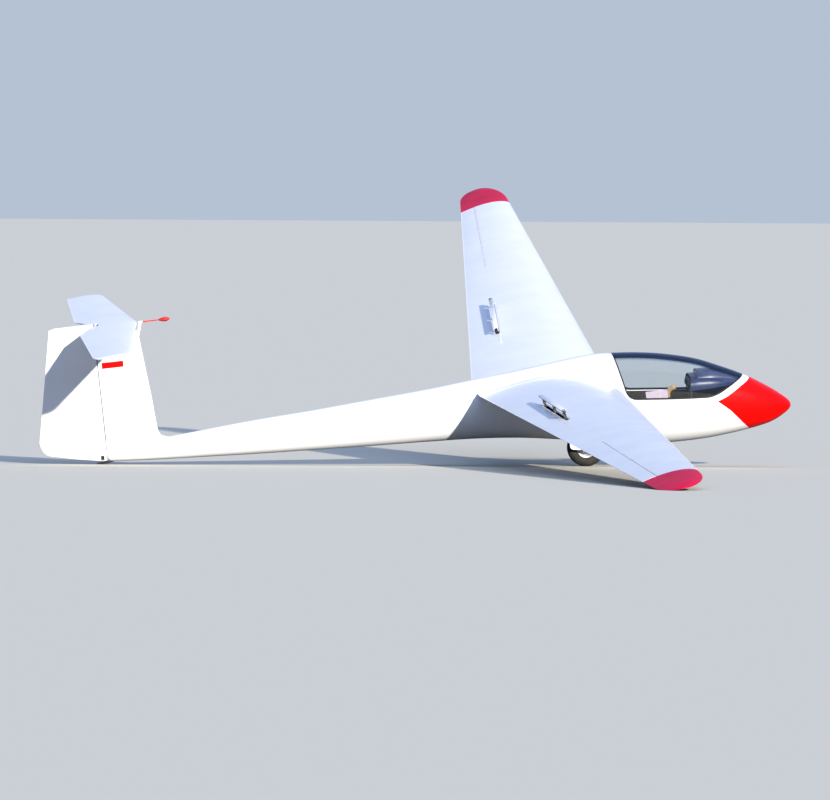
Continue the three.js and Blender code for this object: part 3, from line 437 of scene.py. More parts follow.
# Plain field tints, with thin height lines where a slow noise passes whole steps
def paper():
    material, tree, shader, coords = newMaterial("printed paper, creased", {"Roughness": 0.75})
    fields = []
    for scale, detail, roughness in ((9.0, 2.5, 0.45), (22.0, 2.0, 0.5), (30.0, 3.0, 0.5)):
        noise = {"Scale": scale, "Detail": detail, "Roughness": roughness}
        fields.append(addNode(tree, "TexNoise", noise, {"Vector": coords}))
    relief, tint, crease = fields
    steps = addNode(tree, "Math", {"operation": "MULTIPLY", 1: 16.0}, {0: relief})
    steps = addNode(tree, "Math", {"operation": "PINGPONG", 1: 0.5}, {0: steps})
    line = addNode(tree, "MapRange", {1: 0.0, 2: 0.07, 3: 0.7, 4: 0.0}, {0: steps})
    base = addNode(tree, "ValToRGB", {"stops": [(0.4, "c4b2c0"), (0.62, "b6abc8")]}, {0: tint})
    ink = {"data_type": "RGBA", 7: linear("5f4468")}
    tree.links.new(addNode(tree, "Mix", ink, {0: line, 6: base}, 2), shader["Base Color"])
    bump = addNode(tree, "Bump", {"Distance": 0.002, "Strength": 0.4}, {"Height": crease})
    tree.links.new(bump, shader["Normal"])
    return material


canopyAcrylic = acrylic()
mapPaper = paper()
print("materials made")

# Fuselage form: the same stations as the solids, run finely

hullForm = {
    "noseX": 1939,
    "tailX": -4456,
    "wall": 12,
    "roundness": 2.2,
    "stations": [  # x, top, bottom, half width
        [1939, 364, 364, 0], [1876, 453, 293, 84], [1738, 560, 226, 152], [1567, 671, 190, 206],
        [1310, 799, 158, 257], [1094, 892, 142, 283], [799, 970, 141, 299], [600, 1005, 157, 302],
        [400, 1027, 184, 302], [146, 1041, 225, 296], [-204, 1010, 280, 274], [-600, 965, 342, 248],
        [-987, 931, 380, 224], [-1396, 892, 402, 203], [-1961, 853, 424, 180],
        [-2525, 815, 450, 157], [-3089, 785, 476, 134], [-3653, 741, 508, 102],
        [-4040, 712, 531, 80], [-4456, 682, 564, 55],
    ],
}
hullStations = np.array(hullForm["stations"], float).T
hullReach = np.sqrt(hullForm["noseX"] - hullStations[0])


def rounded(value, power):
    return np.sign(value) * np.abs(value) ** power


# Top, bottom and half width at a reach, which is the root of the distance behind the nose
def hullLines(reach):
    return [curveThrough(hullReach, line, reach) for line in hullStations[1:]]


# Each ring is a superellipse between the top, bottom and side lines, moved in by an inset
def hullObject(name, frontX, rearX, inset, rings, around):
    ends = [math.sqrt(hullForm["noseX"] - x) for x in (frontX, rearX)]
    reach = np.linspace(*ends, rings)[:, None]
    angle = np.linspace(0, 2 * np.pi, around, endpoint=False)
    top, bottom, half = hullLines(reach)
    top, bottom, half = top - inset, bottom + inset, half - inset
    power = 2 / hullForm["roundness"]
    y = half * rounded(np.cos(angle), power)
    z = (top + bottom) / 2 + (top - bottom) / 2 * rounded(np.sin(angle), power)
    x = np.broadcast_to(hullForm["noseX"] - reach**2, y.shape)
    return gridObject(name, np.stack([x, y, z], axis=-1))


def hullSizes(x):
    return hullLines(np.sqrt(np.clip(hullForm["noseX"] - np.asarray(x, float), 0, None)))


def insideHull(points, inset):
    top, bottom, half = hullSizes(points[:, 0])
    half = np.maximum(half - inset, 0.1)
    tall = np.maximum((top - bottom) / 2 - inset, 0.1)
    outward = np.abs(points[:, 1] / half) ** hullForm["roundness"]
    rise = np.abs((points[:, 2] - (top + bottom) / 2) / tall)
    return outward + rise ** hullForm["roundness"] < 1


# The height of the belly at a place
def bellyZ(x, y):
    top, bottom, half = hullSizes(x)
    power = hullForm["roundness"]
    fall = (1 - (np.abs(y) / half) ** power) ** (1 / power)
    return (top + bottom) / 2 - (top - bottom) / 2 * fall


# The faces inside the cockpit and the wheel well, which take the near black as painted shade of the
# hollows
def hollowShadeFaces(points):
    x, y, z = points.T
    well = (np.abs(x) < 236.5) & (np.abs(y) < 98.5) & (z < 403) & insideHull(points, 5)
    return well | (insideHull(points, 10.5) & (x > 300))


def canopyOutline(inset):
    foot, front, brow = (382 + inset, 716), (505 + inset, 616 + inset), (1120, 560 + inset)
    path = [(304 + inset, 1150), (313 + inset, 1032), foot]
    path += corner(foot, (402 + inset, 620 + inset), front)
    path += [(882, 579 + inset), brow]
    path += corner(brow, (1195 - inset * 0.4, 553 + inset), (1282 - inset * 0.5, 589 + inset))
    return path + [(1530 - inset, 707), (1620 - inset, 748), (1620 - inset, 1150)]


# The red nose's chevron edge in side view, and a block in front of it
def noseCut(shift):
    upper = [(1236, 515), (1335, 550), (1471, 623), (1571, 668), (1680, 716)]
    lower = [(1590, 60), (1538, 185), (1449, 290), (1395, 359), (1342, 421)]
    upper, lower = ([(x + shift, z) for x, z in edge] for edge in (upper, lower))
    return sidePrism("nose_cut", upper + [(2100, 716), (2100, 60)] + lower, -400, 400)


# Aerofoil form

foil = {"points": 61, "camberPlace": 0.45, "trailingEdge": 3.0}
foilFractions = (1 - np.cos(np.linspace(0, np.pi, foil["points"]))) / 2


# Half thickness by the four-digit formula, and a camber line of two parabolas
def foilHeights(f, thickness, arch):
    f = np.asarray(f, float)
    root = 0.2969 * np.sqrt(f) - 0.126 * f - 0.3516 * f**2 + 0.2843 * f**3 - 0.1036 * f**4
    p = foil["camberPlace"]
    front = arch / p**2 * (2 * p * f - f * f)
    rear = arch / (1 - p) ** 2 * (1 - 2 * p + 2 * p * f - f * f)
    return 5 * thickness * root, np.where(f < p, front, rear)


# One face of the foil between its nose and tail, never thinner than the trailing edge
def foilSide(nose, tail, up, thickness, arch, fractions, side):
    nose, tail, up = (np.asarray(p, float) for p in (nose, tail, up))
    chord = np.linalg.norm(tail - nose)
    f = np.asarray(fractions, float)
    half, middle = foilHeights(f, thickness, arch)
    height = side * np.maximum(half, foil["trailingEdge"] / 2 / chord * f) + middle
    return nose + (tail - nose) * f[..., None] + up * (height * chord)[..., None]


def foilRing(nose, tail, up, thickness, arch):
    over = foilSide(nose, tail, up, thickness, arch, foilFractions[::-1], 1)
    under = foilSide(nose, tail, up, thickness, arch, foilFractions[1:], -1)
    return np.vstack([over, under])


wing = {"semiSpan": 8500, "rootY": 330, "tipY": 7630, "camber": 0.03, "root": 0.155, "tip": 0.13}


# Straight leading and trailing edges that round off elliptically towards the tip
def wingChord(spanY, side):
    def roundOff(start, depth):
        t = max(0, (spanY - start) / (wing["semiSpan"] - start))
        return depth * (1 - math.sqrt(max(0, 1 - t * t)))

    straightNose = 275.4 - 0.0079 * spanY
    straightTail = -1007.2 + 0.0954 * spanY
    frontZ = 776.1 + 0.0659 * spanY
    rearZ = 816.1 + 0.0559 * spanY
    ends = []
    for x in (straightNose - roundOff(7850, 225), straightTail + roundOff(8080, 165)):
        fraction = (straightNose - x) / (straightNose - straightTail)
        ends.append(np.array([x, side * spanY, frontZ + (rearZ - frontZ) * fraction]))
    along = (spanY - wing["rootY"]) / (wing["semiSpan"] - wing["rootY"])
    return *ends, wing["root"] + (wing["tip"] - wing["root"]) * along


def wingRing(spanY, side):
    nose, tail, thickness = wingChord(spanY, side)
    return foilRing(nose, tail, skyward, thickness, wing["camber"])


def wingObject(name, stations, side):
    return gridObject(name, [wingRing(y, side) for y in stations])


def onWing(spanY, fraction, side, face=1):
    nose, tail, thickness = wingChord(spanY, side)
    return foilSide(nose, tail, skyward, thickness, wing["camber"], fraction, face)


# The cut that frees a hinged surface: a round nose about the hinge line, open to the rear. Each end
# is (centre, radius, depth behind it, half width at that depth).
def hingeCut(name, ends, across):
    turn = np.linspace(0, np.pi, 33)[1:-1]
    rings = []
    for centre, radius, depth, spread in ends:
        arc = np.outer(np.cos(turn) * radius, across) - np.outer(np.sin(turn) * radius, rearward)
        heel = centre + rearward * depth
        upper, lower = centre + across * radius, centre - across * radius
        rings.append(
            np.vstack([heel + across * spread, upper, centre + arc, lower, heel - across * spread])
        )
    return gridObject(name, rings)


aileron = {"innerY": 4920, "outerY": 7621, "endGap": 11, "fraction": 0.75, "gap": 5}


def aileronCut(name, innerY, outerY, side, growth):
    ends = []
    for spanY in (innerY, outerY):
        nose, tail, thickness = wingChord(spanY, side)
        chord = np.linalg.norm(tail - nose)
        half, middle = foilHeights(aileron["fraction"], thickness, wing["camber"])
        centre = nose + (tail - nose) * aileron["fraction"] + skyward * middle * chord
        depth = chord * (1 - aileron["fraction"]) + 60
        ends.append((centre, half * chord + growth, depth, half * chord + 40))
    return hingeCut(name, ends, skyward)


brake = {
    "innerY": 1975,
    "outerY": 3245,
    "fraction": 0.74,
    "height": 80.0,
    "fold": math.radians(82),
    "capWidth": 58.0,
    "capThickness": 4.0,
    "railThickness": 3.0,
    "lidWidth": 40.0,
    "mouthWidth": 45.0,
    "armWidth": 26.0,
    "armThickness": 12.0,
    "pivotDepth": 30.0,
    "boxDepth": 45.0,
    "boxWall": 3.0,
    "spots": {"inner": -560.0, "middle": -30.0, "outer": 500.0},
}
brake["armLength"] = brake["height"] / (1 - math.cos(brake["fold"]))
brake["shift"] = brake["armLength"] * math.sin(brake["fold"])


# The airbrake slot's own axes on the upper surface: forward, left and normal, from its middle
def slotFrame(side):
    inner, outer = (onWing(brake[key], brake["fraction"], side) for key in ("innerY", "outerY"))
    middleY = (brake["innerY"] + brake["outerY"]) / 2
    ahead, behind = (onWing(middleY, brake["fraction"] + step, side) for step in (-0.03, 0.03))
    left = unit((outer - inner) * side)
    normal = unit(np.cross(ahead - behind, left))
    return (inner + outer) / 2, np.array([np.cross(left, normal), left, normal])


def buildWing(side, word):
    stations = np.linspace(wing["rootY"] + 0.3, 4900, 26)
    stations = np.concatenate([stations, np.linspace(5000, wing["tipY"] - 0.15, 14)])
    whole = wingObject(f"wing_skin_{word}", stations, side)
    moving = linked(f"aileron_skin_{word}", whole.data.copy())
    innerY, outerY, gap = aileron["innerY"], aileron["outerY"], aileron["gap"]
    wide = aileronCut("wide", innerY - aileron["endGap"], wing["tipY"] + 20, side, gap)
    narrow = aileronCut("narrow", innerY, outerY, side, 0)
    slotOrigin, slotAxes = slotFrame(side)

    def toSlot(thing):
        x, y, z = vertsOf(thing).T[:, :, None]
        return setVerts(thing, slotOrigin + x * slotAxes[0] + y * slotAxes[1] + z * slotAxes[2])

    slotHalf = (brake["outerY"] - brake["innerY"]) / 2
    inner = brake["capWidth"] / 2 + 5
    boxX, boxY = inner + brake["boxWall"], slotHalf + brake["boxWall"]
    room = boxObject("hole", (-boxX - 0.3, -boxY - 0.3, -48.3), (boxX + 0.3, boxY + 0.3, 40))
    combine(whole, [wide, toSlot(room)])

    # The two faces that stand in the aileron's inner joint, which take grey as painted shade of the
    # gap
    def innerJointShadeFaces(points):
        out = np.abs(points[:, 1]) - innerY
        return (points[:, 0] < -340) & (out > -aileron["endGap"] - 6) & (out < 6)

    # The faces in the aileron's inner joint take the grey gelcoat, painted shade
    skin = {"smooth": 28, "second": gapShadeGelcoat, "where": innerJointShadeFaces}
    settle(whole, whiteGelcoat, "white_lacquered_wood", f"wing_{word}", **skin)
    combine(moving, [narrow], "INTERSECT")
    node = f"aileron_{word}"
    settle(moving, whiteGelcoat, "white_lacquered_wood", node, body=node, **skin)

    # Red tips, tinted crimson as painted sky light, on finer stations, crowded towards the rounded
    # end
    ease = 1 - (1 - np.linspace(0, 1, 30)) ** 2
    start = wing["tipY"] + 0.15
    tip = wingObject(f"tip_skin_{word}", start + (8496 - wing["tipY"]) * ease, side)
    settle(tip, redWithPaintedSkyTint, "crimson_lacquered_wood", f"wing_tip_{word}", smooth=40)

    # White cloth tape, 26 mm wide, seals the aileron's hinge line above and below
    tape = {"width": 26.0, "lift": 0.35}
    for face, label in ((1, "top"), (-1, "under")):
        rows = []
        for spanY in np.linspace(innerY + 6, outerY - 6, 40):
            nose, tail, thickness = wingChord(spanY, side)
            back = np.linspace(-1.0, -0.22, 8) * tape["width"] / np.linalg.norm(tail - nose)
            rows.append(onWing(spanY, aileron["fraction"] - 0.002 + back, side, face))
        rows = np.array(rows) + skyward * face * tape["lift"]
        strip = gridObject(f"hinge_tape_{label}_{word}", rows, closeRows=False, capEnds=False)
        settle(strip, tapeWhite, "white_gelcoat", smooth=60)

    # Airbrake: box liner with flanged rim, folding arms, and the cap with its blade and rail
    floorZ = -brake["boxDepth"]
    low, high = (-boxX, -boxY, floorZ - brake["boxWall"]), (boxX, boxY, -2)
    liner = boxObject(f"brake_box_liner_{word}", low, high)
    combine(liner, [boxObject("room", (-inner, -slotHalf, floorZ), (inner, slotHalf, 5))])
    settle(toSlot(soften(liner, 0.8)), brownVarnish, "brown_laminate", f"airbrake_box_{word}")

    # A white flange, flush with the skin, closes the box down to the cap's own width
    flange = boxObject(f"brake_flange_{word}", (-boxX, -boxY, -3.2), (boxX, boxY, -0.7))
    mouth = brake["mouthWidth"] / 2
    combine(flange, [boxObject("mouth", (-mouth, -slotHalf, -6), (mouth, slotHalf, 5))])
    lip = boxObject("lip", (mouth - 8, -slotHalf - 1, -7.5), (boxX, slotHalf + 1, -5.5))
    wall = boxObject("wall", (mouth, -slotHalf - 1, -7.5), (mouth + 2, slotHalf + 1, -2))
    combine(flange, [lip, wall], "UNION")
    settle(toSlot(flange), whiteGelcoat, "white_gelcoat")

    # Arms: two pressed cheeks with a web between them, waisted at mid height
    footZ, pinZ = -brake["pivotDepth"], brake["armLength"] - brake["pivotDepth"]
    wide, thick = brake["armWidth"] / 2, brake["armThickness"] / 2
    outline = [(-thick - 1, footZ), (-thick + 1.5, 16), (-thick - 1, pinZ)]
    outline += [(-y, z) for y, z in outline[::-1]]
    for spotName, spot in brake["spots"].items():
        y = side * spot
        cheeks = []
        for x0, x1 in ((-wide, -wide + 4), (wide - 4, wide)):
            rows = [[(x, y + a, z) for a, z in outline] for x in (x0, x1)]
            cheeks.append(gridObject(f"brake_arm_{spotName}_{word}_form", rows))
        web = boxObject("web", (2 - wide, y - 1.5, -24), (wide - 2, y + 1.5, pinZ - 8))
        parts = [cheeks[1], web]
        for z, reach in ((footZ, inner - 0.3), (pinZ, brake["lidWidth"] / 2 - 7.2)):
            parts.append(barObject("boss", (-wide, y, z), (wide, y, z), [(0, 7), (1, 7)], 24))
            pin = [(0, 3.2), (0.03, 4), (0.97, 4), (1, 3.2)]
            parts.append(barObject("pin", (-reach, y, z), (reach, y, z), pin, 20))
        arm = toSlot(combine(cheeks[0], parts, "UNION"))
        node, rider = f"airbrake_arm_{spotName}_{word}", f"brake_{spotName}_{word}"
        settle(arm, blackEnamel, "black_enamel", node, body=rider)

    rider = f"brake_cap_{word}"
    near, far = sorted(side * (y - brake["shift"]) for y in (-slotHalf + 5, slotHalf - 5))
    capTop, lidHalf = brake["height"], brake["lidWidth"] / 2
    under = capTop - brake["capThickness"]
    strip = boxObject(f"brake_cap_skin_{word}", (-lidHalf, near, under), (lidHalf, far, capTop))
    strip = toSlot(soften(strip, 1.0))
    settle(strip, whiteGelcoat, "white_gelcoat", f"airbrake_cap_{word}", body=rider)
    # A white blade hangs under the cap's front edge, notched where it comes down over the arms'
    # lower pins, and a thin black rail stiffens the rear edge
    for label, x, tall, finish, slot in (
        ("front", lidHalf - 10, 36, whiteGelcoat, "white_gelcoat"),
        ("rear", 3 - lidHalf, 11, blackEnamel, "black_enamel"),
    ):
        low, high = (x, near + 4, under - tall), (x + brake["railThickness"], far - 4, under + 0.5)
        rail = boxObject(f"brake_rail_{label}_{word}", low, high)
        if label == "front":
            notches = []
            for spot in brake["spots"].values():
                y = side * (spot - brake["shift"])
                low, high = (x - 3, y - 16, under - tall - 5), (x + 6, y + 16, under + 1)
                notches.append(boxObject("notch", low, high))
            combine(rail, notches)
        settle(toSlot(rail), finish, slot, body=rider)
    # A black stop stands over the cap's outer end
    stopY = far if side > 0 else near + 16
    low, high = (-18, stopY - 16, capTop - 30), (13, stopY, capTop + 6)
    stop = toSlot(soften(boxObject(f"brake_stop_{word}", low, high), 2.5))
    settle(stop, blackEnamel, "black_enamel", body=rider)
    head = [(0, 4), (0.6, 4), (1, 3)]
    screws = [
        barObject("screw", (0, y, capTop - 0.5), (0, y, capTop + 0.8), head, 16)
        for y in np.arange(near + 30, far - 30, 60)
    ]
    screws = toSlot(merged(f"brake_screws_{word}", screws))
    settle(screws, zincSteel, "plated_steel", body=rider)
    print("wing built:", word)


for side, word in sides:
    buildWing(side, word)

# Fuselage shell and nose

hull = hullObject("fuselage_skin", hullForm["noseX"] - 0.35, hullForm["tailX"], 0, 280, 160)
cavity = hullObject("cavity", 1845, 322, hullForm["wall"], 90, 96)
nose = linked("nose_skin", hull.data.copy())
combine(nose, [noseCut(0)], "INTERSECT")
combine(nose, [cavity], keepTools=True)
# Inner faces of the nose and hull take the near black, painted shade of the cockpit and wheel well
dark = {"smooth": 30, "second": blackLaminateAndHollowShade, "where": hollowShadeFaces}
settle(nose, redGelcoat, "red_gelcoat", "nose_cone", **dark)

fin = {
    "thickness": 0.1,
    "hingeX": -4460,
    "rudderGap": 6.2,
    "levels": [  # z, front, rear
        [556, -3850, -5093], [724, -3856, -5062], [752, -3926, -5056], [805, -3948, -5047],
        [1112, -3972, -4990], [1739, -4037, -4874], [1857, -4049, -4852],
    ],
}
finZ, finFront, finRear = np.array(fin["levels"], float).T


def finEdges(z):
    return np.interp(z, finZ, finFront), np.interp(z, finZ, finRear)


# Half the fin's thickness at a place in side view
def finHalf(x, z):
    front, rear = finEdges(z)
    fraction = np.clip((front - x) / (front - rear), 0, 1)
    return foilHeights(fraction, fin["thickness"], 0)[0] * (front - rear)


def finRing(z):
    front, rear = finEdges(z)
    return foilRing((front, 0, z), (rear, 0, z), sideward, fin["thickness"], 0)


def rudderCut(name, lowZ, growth):
    ends = []
    for z in (lowZ, 1857):
        half, rear = float(finHalf(fin["hingeX"], z)), finEdges(z)[1]
        centre = np.array([fin["hingeX"], 0.0, z])
        ends.append((centre, half + growth, fin["hingeX"] - rear + 60, half + 60))
    return hingeCut(name, ends, sideward)


rudderGap = rudderCut("rudder_gap", 572, fin["rudderGap"])
stub = gridObject("stub", [wingRing(wing["rootY"], -1), wingRing(wing["rootY"], 1)])
well = boxObject("well", (-235, -98, 100), (235, 98, 402))
canopyHole = sidePrism("canopy_hole", canopyOutline(0), -400, 400)
combine(hull, [stub], "UNION")
combine(hull, [noseCut(-0.5), canopyHole, well])
combine(hull, [cavity])
combine(hull, [rudderGap], keepTools=True)
settle(hull, whiteGelcoat, "white_gelcoat", "fuselage", "cockpit_tub", **dark)
print("fuselage built")

# Landing gear

wheelCentre = np.array([0.0, 0.0, tyreRadius])
turn = np.linspace(-0.68 * np.pi, 0.68 * np.pi, 141)
tyreY = 60 * rounded(np.sin(turn), 0.9)
# Four grooves run round the tread, each 4 mm wide with soft shoulders, and a moulded rib stands on
# each side wall
groove = sum(np.exp(-(((tyreY - y) / 1.9) ** 4)) for y in (-27, -9, 9, 27))
tyreR = 126 + 54 * np.cos(turn) - 2.6 * groove * (np.cos(turn) > 0)
tyreR = tyreR + 1.2 * np.exp(-(((np.abs(turn) - 2.0) / 0.035) ** 2))
tyreRing = np.vstack([[(94.3, -38)], np.column_stack([tyreR, tyreY]), [(94.3, 38)]])
tyre = latheObject("tyre_form", tyreRing, wheelCentre, sideward, 160)
settle(tyre, rubber, "tyre_rubber", "main_tyre", body="wheel", smooth=30)

# Cast hub with six holes, six bolts on each face and the valve
half = [(10.5, 44), (26, 44), (27, 40), (30, 18), (70, 14), (79, 32), (84, 34), (94, 40)]
hubRing = [(r, -y) for r, y in half] + half[::-1]
hub = latheObject("wheel_hub", hubRing, wheelCentre, sideward, 120)
bolts, holes = [], []
reach = sideward * 40
for n in range(6):
    a, b = n * math.pi / 3, n * math.pi / 3 + math.pi / 6
    spot = wheelCentre + [50 * math.cos(a), 0, 50 * math.sin(a)]
    holes.append(barObject("hole", spot - reach, spot + reach, [(0, 9), (1, 9)], 28))
    foot = wheelCentre + [50 * math.cos(b), 0, 50 * math.sin(b)]
    bolts += [boltObject(foot + sideward * s * 15.5, sideward * s, 6.5, 6) for s in (1, -1)]
combine(hub, [merged("holes", holes)])
settle(hub, castAlloy, "cast_alloy", "main_wheel", body="wheel", smooth=30)
stem = wheelCentre + [0, 26, 84]
valve = [(0, 3.5), (0.7, 3.5), (0.72, 4.4), (1, 4.4)]
bolts.append(barObject("valve", stem, stem - [0, -10, 14], valve, 16))
settle(merged("wheel_bolts", bolts), zincSteel, "plated_steel", body="wheel")

reach = sideward * 92
axleProfile = [(0, 8), (0.02, 10), (0.98, 10), (1, 8)]
axle = [barObject("axle", wheelCentre - reach, wheelCentre + reach, axleProfile)]
for side, word in sides:
    out = sideward * side
    face = wheelCentre + out * 81.2
    axle.append(barObject("washer", face, face + out * 1.6, [(0, 19), (1, 19)]))
    axle.append(boltObject(face + out * 1.6, out, 15, 7))
settle(merged("axle_with_nuts", axle), zincSteel, "plated_steel", "main_axle")

# Fork: two legs with round lightening holes under a bolted plate
legLine = [(-26, 166), (-12, 152), (12, 152), (26, 166), (44, 401.7), (-44, 401.7)]
plate = boxObject("gear_fork_form", (-60, -81, 390), (60, 81, 401.7))
combine(plate, [sidePrism("leg", legLine, y - 5, y + 5) for y in (-76, 76)], "UNION")
holes = [
    barObject("window", (0, -90, z), (0, 90, z), [(0, r), (1, r)], 32)
    for z, r in ((270, 11), (325, 15))
]
settle(soften(combine(plate, holes), 1.5), castAlloy, "cast_alloy", "gear_fork")
spots = [(x, y, 390) for x in (-50, 50) for y in (-60, -20, 20, 60)]
heads = [boltObject(spot, (0, 0, -1), 7, 6) for spot in spots]
settle(merged("fork_bolts", heads), zincSteel, "plated_steel")

# Doors: leaves that bow outwards as a sine down their height, with rounded lower corners
door = {"rear": -160, "front": 228, "hinge": 98, "skin": 5, "corner": 26}
u = np.linspace(0, 1, 64)[:, None]
t = np.linspace(0, 1, 28)[None, :]
shrink = door["corner"] * (1 - np.sqrt(1 - np.clip((t - 0.74) / 0.26, 0, 1) ** 2 * 0.999))
doorX = door["rear"] + shrink + (door["front"] - door["rear"] - 2 * shrink) * u
doorZ = bellyZ(doorX, door["hinge"]) + 8 - 100 * t
doorY = 98 + 6 + 26 * t + 9 * np.sin(np.pi * t) + 0 * u
barrel = [(0, 2.6), (0.05, 3.2), (0.95, 3.2), (1, 2.6)]
for side, word in sides:
    outer = np.stack([doorX, side * (doorY + door["skin"]), doorZ], axis=-1)
    inner = np.stack([doorX, side * doorY, doorZ], axis=-1)[:, ::-1]
    leaf = gridObject(f"gear_door_form_{word}", np.concatenate([outer, inner], axis=1))
    combine(leaf, [hullObject("belly", 600, -600, -0.2, 90, 96)])
    settle(leaf, whiteGelcoat, "white_gelcoat", f"gear_door_{word}", smooth=40)
    barrels = []
    for x in np.arange(door["rear"] + 8, door["front"] - 20, 22.0):
        start, end = ((x + s, side * 102, float(bellyZ(x + s, 98)) - 3) for s in (0, 20))
        barrels.append(barObject("barrel", start, end, barrel, 16))
    settle(merged(f"door_hinge_{word}", barrels), zincSteel, "plated_steel")

# Release hook under the nose: a cast body with its cheeks bolted through
hook = boxObject("tow_hook_form", (395, -16, 150), (465, 16, 205))
combine(soften(hook, 2.5), [hullObject("belly", 800, 100, 0.2, 60, 96)])
combine(hook, [barObject("mouth", (449, -30, 168), (449, 30, 168), [(0, 6), (1, 6)], 28)])
settle(hook, castAlloy, "cast_alloy", "tow_hook")
heads = [
    boltObject((x, side * 16, 164), (0, side, 0), 4.5, 3.5) for x in (408, 427) for side in (1, -1)
]
settle(merged("tow_hook_bolts", heads), zincSteel, "plated_steel")

skidLine = [(-4380, 556), (-4436, 543.5), (-4500, 541.5), (-4536, 549), (-4540, 556)]
skidLine += [(-4442, 563.4), (-4385, 560)]
skid = soften(sidePrism("tail_skid_form", skidLine, -17, 17), 3, 3)
settle(skid, rubber, "tyre_rubber", "tail_skid")
print("gear built")

# Canopy and what lies along its edge. Each is a layer of the hull's own form, between two insets
# from the skin, that runs between two insets from the canopy's outline.
lid = {"gap": 0.8, "band": 5.0, "glass": 4.0, "lip": 11.0, "depth": 14.0}


def canopyLayer(name, outer, inner, edge, hole=None):
    skin = hullObject(name, 1700, 250, outer, 110, 160)
    combine(skin, [hullObject("inner", 1710, 240, inner, 110, 160)])
    combine(skin, [sidePrism("lid_prism", canopyOutline(edge), -400, 400)], "INTERSECT")
    if hole is not None:
        combine(skin, [sidePrism("lid_prism", canopyOutline(hole), -400, 400)])
    return skin


rim = canopyLayer("canopy_rim", 0, lid["depth"], lid["gap"], lid["band"])
lipEdge = lid["band"] + lid["lip"]
lip = canopyLayer("canopy_lip", lid["glass"] + 0.3, lid["depth"], lid["gap"], lipEdge)
combine(rim, [lip], "UNION")
settle(rim, blackLaminateAndHollowShade, "white_gelcoat", "canopy_frame", body="canopy", smooth=30)
# A grey rubber bead lies in the joint all round the lid
seal = canopyLayer("canopy_seal", -0.5, 2.5, lid["gap"] + 0.1, lid["gap"] + 3.7)
settle(seal, greyRubberAndGapShade, "tyre_rubber", body="canopy", smooth=40)
# White sills run along the inside of both walls, and two thin grey joint lines, painted shade of
# the joints, cross the hull behind the lid
sill = canopyLayer("sill_strip", 11.4, 13.4, -9, -2)
combine(sill, [boxObject("span", (430, -400, 500), (1120, 400, 720))], "INTERSECT")
settle(sill, whiteGelcoat, "white_gelcoat", smooth=40)
joint = canopyLayer("lid_joint_shade_line", -0.25, 1.5, -20.5, -18)
combine(joint, [boxObject("span", (250, -400, 640), (420, 400, 1100))], "INTERSECT")
settle(joint, greyRubberAndGapShade, "white_gelcoat", smooth=40)
glass = canopyLayer("canopy_sheet", 0, lid["glass"], lid["band"] + 0.3)
settle(glass, canopyAcrylic, "canopy_acrylic", "canopy_glass", body="canopy", smooth=40)
print("canopy built")

# Fin, rudder and tailplane

finLevels = np.concatenate([np.linspace(556, 800, 20), np.linspace(830, 1857, 30)])
upright = gridObject("fin_skin", [finRing(z) for z in finLevels])
rudder = linked("rudder_skin", upright.data.copy())


def finTopAt(x):
    return 1760 - 16 * (-3700 - x) / 780


finLine = [(-3700, 640), (-3700, finTopAt(-3700)), (-4480, finTopAt(-4480)), (-4480, 640)]
combine(upright, [sidePrism("fin_side", finLine, -120, 120)], "INTERSECT")
combine(upright, [rudderGap])


# The faces that look into the rudder's joint, which take grey as painted shade of the gap
def finGapShadeFaces(points):
    x, y, z = points.T
    return (np.abs(y) < finHalf(x, z) - 5) & (x < -4380) & (z < finTopAt(fin["hingeX"]) - 3)


# Faces in the rudder's joint take grey, painted shade of the gap
slot, grey = "white_lacquered_wood", {"smooth": 30, "second": greyRubberAndGapShade}
settle(upright, whiteGelcoat, slot, "fin", where=finGapShadeFaces, **grey)

rudderLine = [(-4380, 577), (-4505, 583), (-4750, 626), (-4960, 672)]
rudderLine += corner((-4960, 672), (-5034, 690), (-5046, 800))
rudderLine += [(-5100, 800), (-4900, 1835)]
rudderLine += corner((-4900, 1835), (-4850, 1835), (-4810, 1853))
rudderLine += [(-4440, 1857), (-4380, 1857)]
rudderNose = rudderCut("rudder_nose", 556, 0)
combine(rudder, [sidePrism("rudder_side", rudderLine, -120, 120)], "INTERSECT")
combine(rudder, [rudderNose], "INTERSECT")


# The part of the round nose that stands in the joint, from its third facet on, which takes grey as
# painted shade of the gap
def rudderGapShadeFaces(points):
    x, y, z = points.T
    radii = [float(finHalf(fin["hingeX"], level)) for level in (556, 1857)]
    radius = np.interp(z, (556, 1857), radii)
    return (x > fin["hingeX"] + radius * math.sin(math.radians(17.5))) & (z < 1735)


# Two lugs on the fin with their pins, in pockets and bores of the rudder
hinge = {"levels": (820, 1600), "pin": 6.0, "room": 10.0}
pockets, lugs = [], []
for z in hinge["levels"]:
    x, room, bore = fin["hingeX"], hinge["room"], hinge["pin"] + 0.6
    wide = float(finHalf(x, z)) - 8
    pockets.append(boxObject("pocket", (-4480, -wide, z - room), (-4370, wide, z + room)))
    pockets.append(barObject("bore", (x, 0, z - 36), (x, 0, z + 36), [(0, bore), (1, bore)]))
    lugs.append(boxObject("lug", (-4468, -10, z - 5), (-4385, 10, z + 5)))
    pin = [(0, 5), (0.04, hinge["pin"]), (0.96, hinge["pin"]), (1, 5)]
    lugs.append(barObject("pin", (x, 0, z - 32), (x, 0, z + 32), pin))
combine(rudder, pockets)
settle(merged("rudder_hinge_lugs", lugs), zincSteel, "plated_steel")
settle(rudder, whiteGelcoat, slot, "rudder", body="rudder", where=rudderGapShadeFaces, **grey)

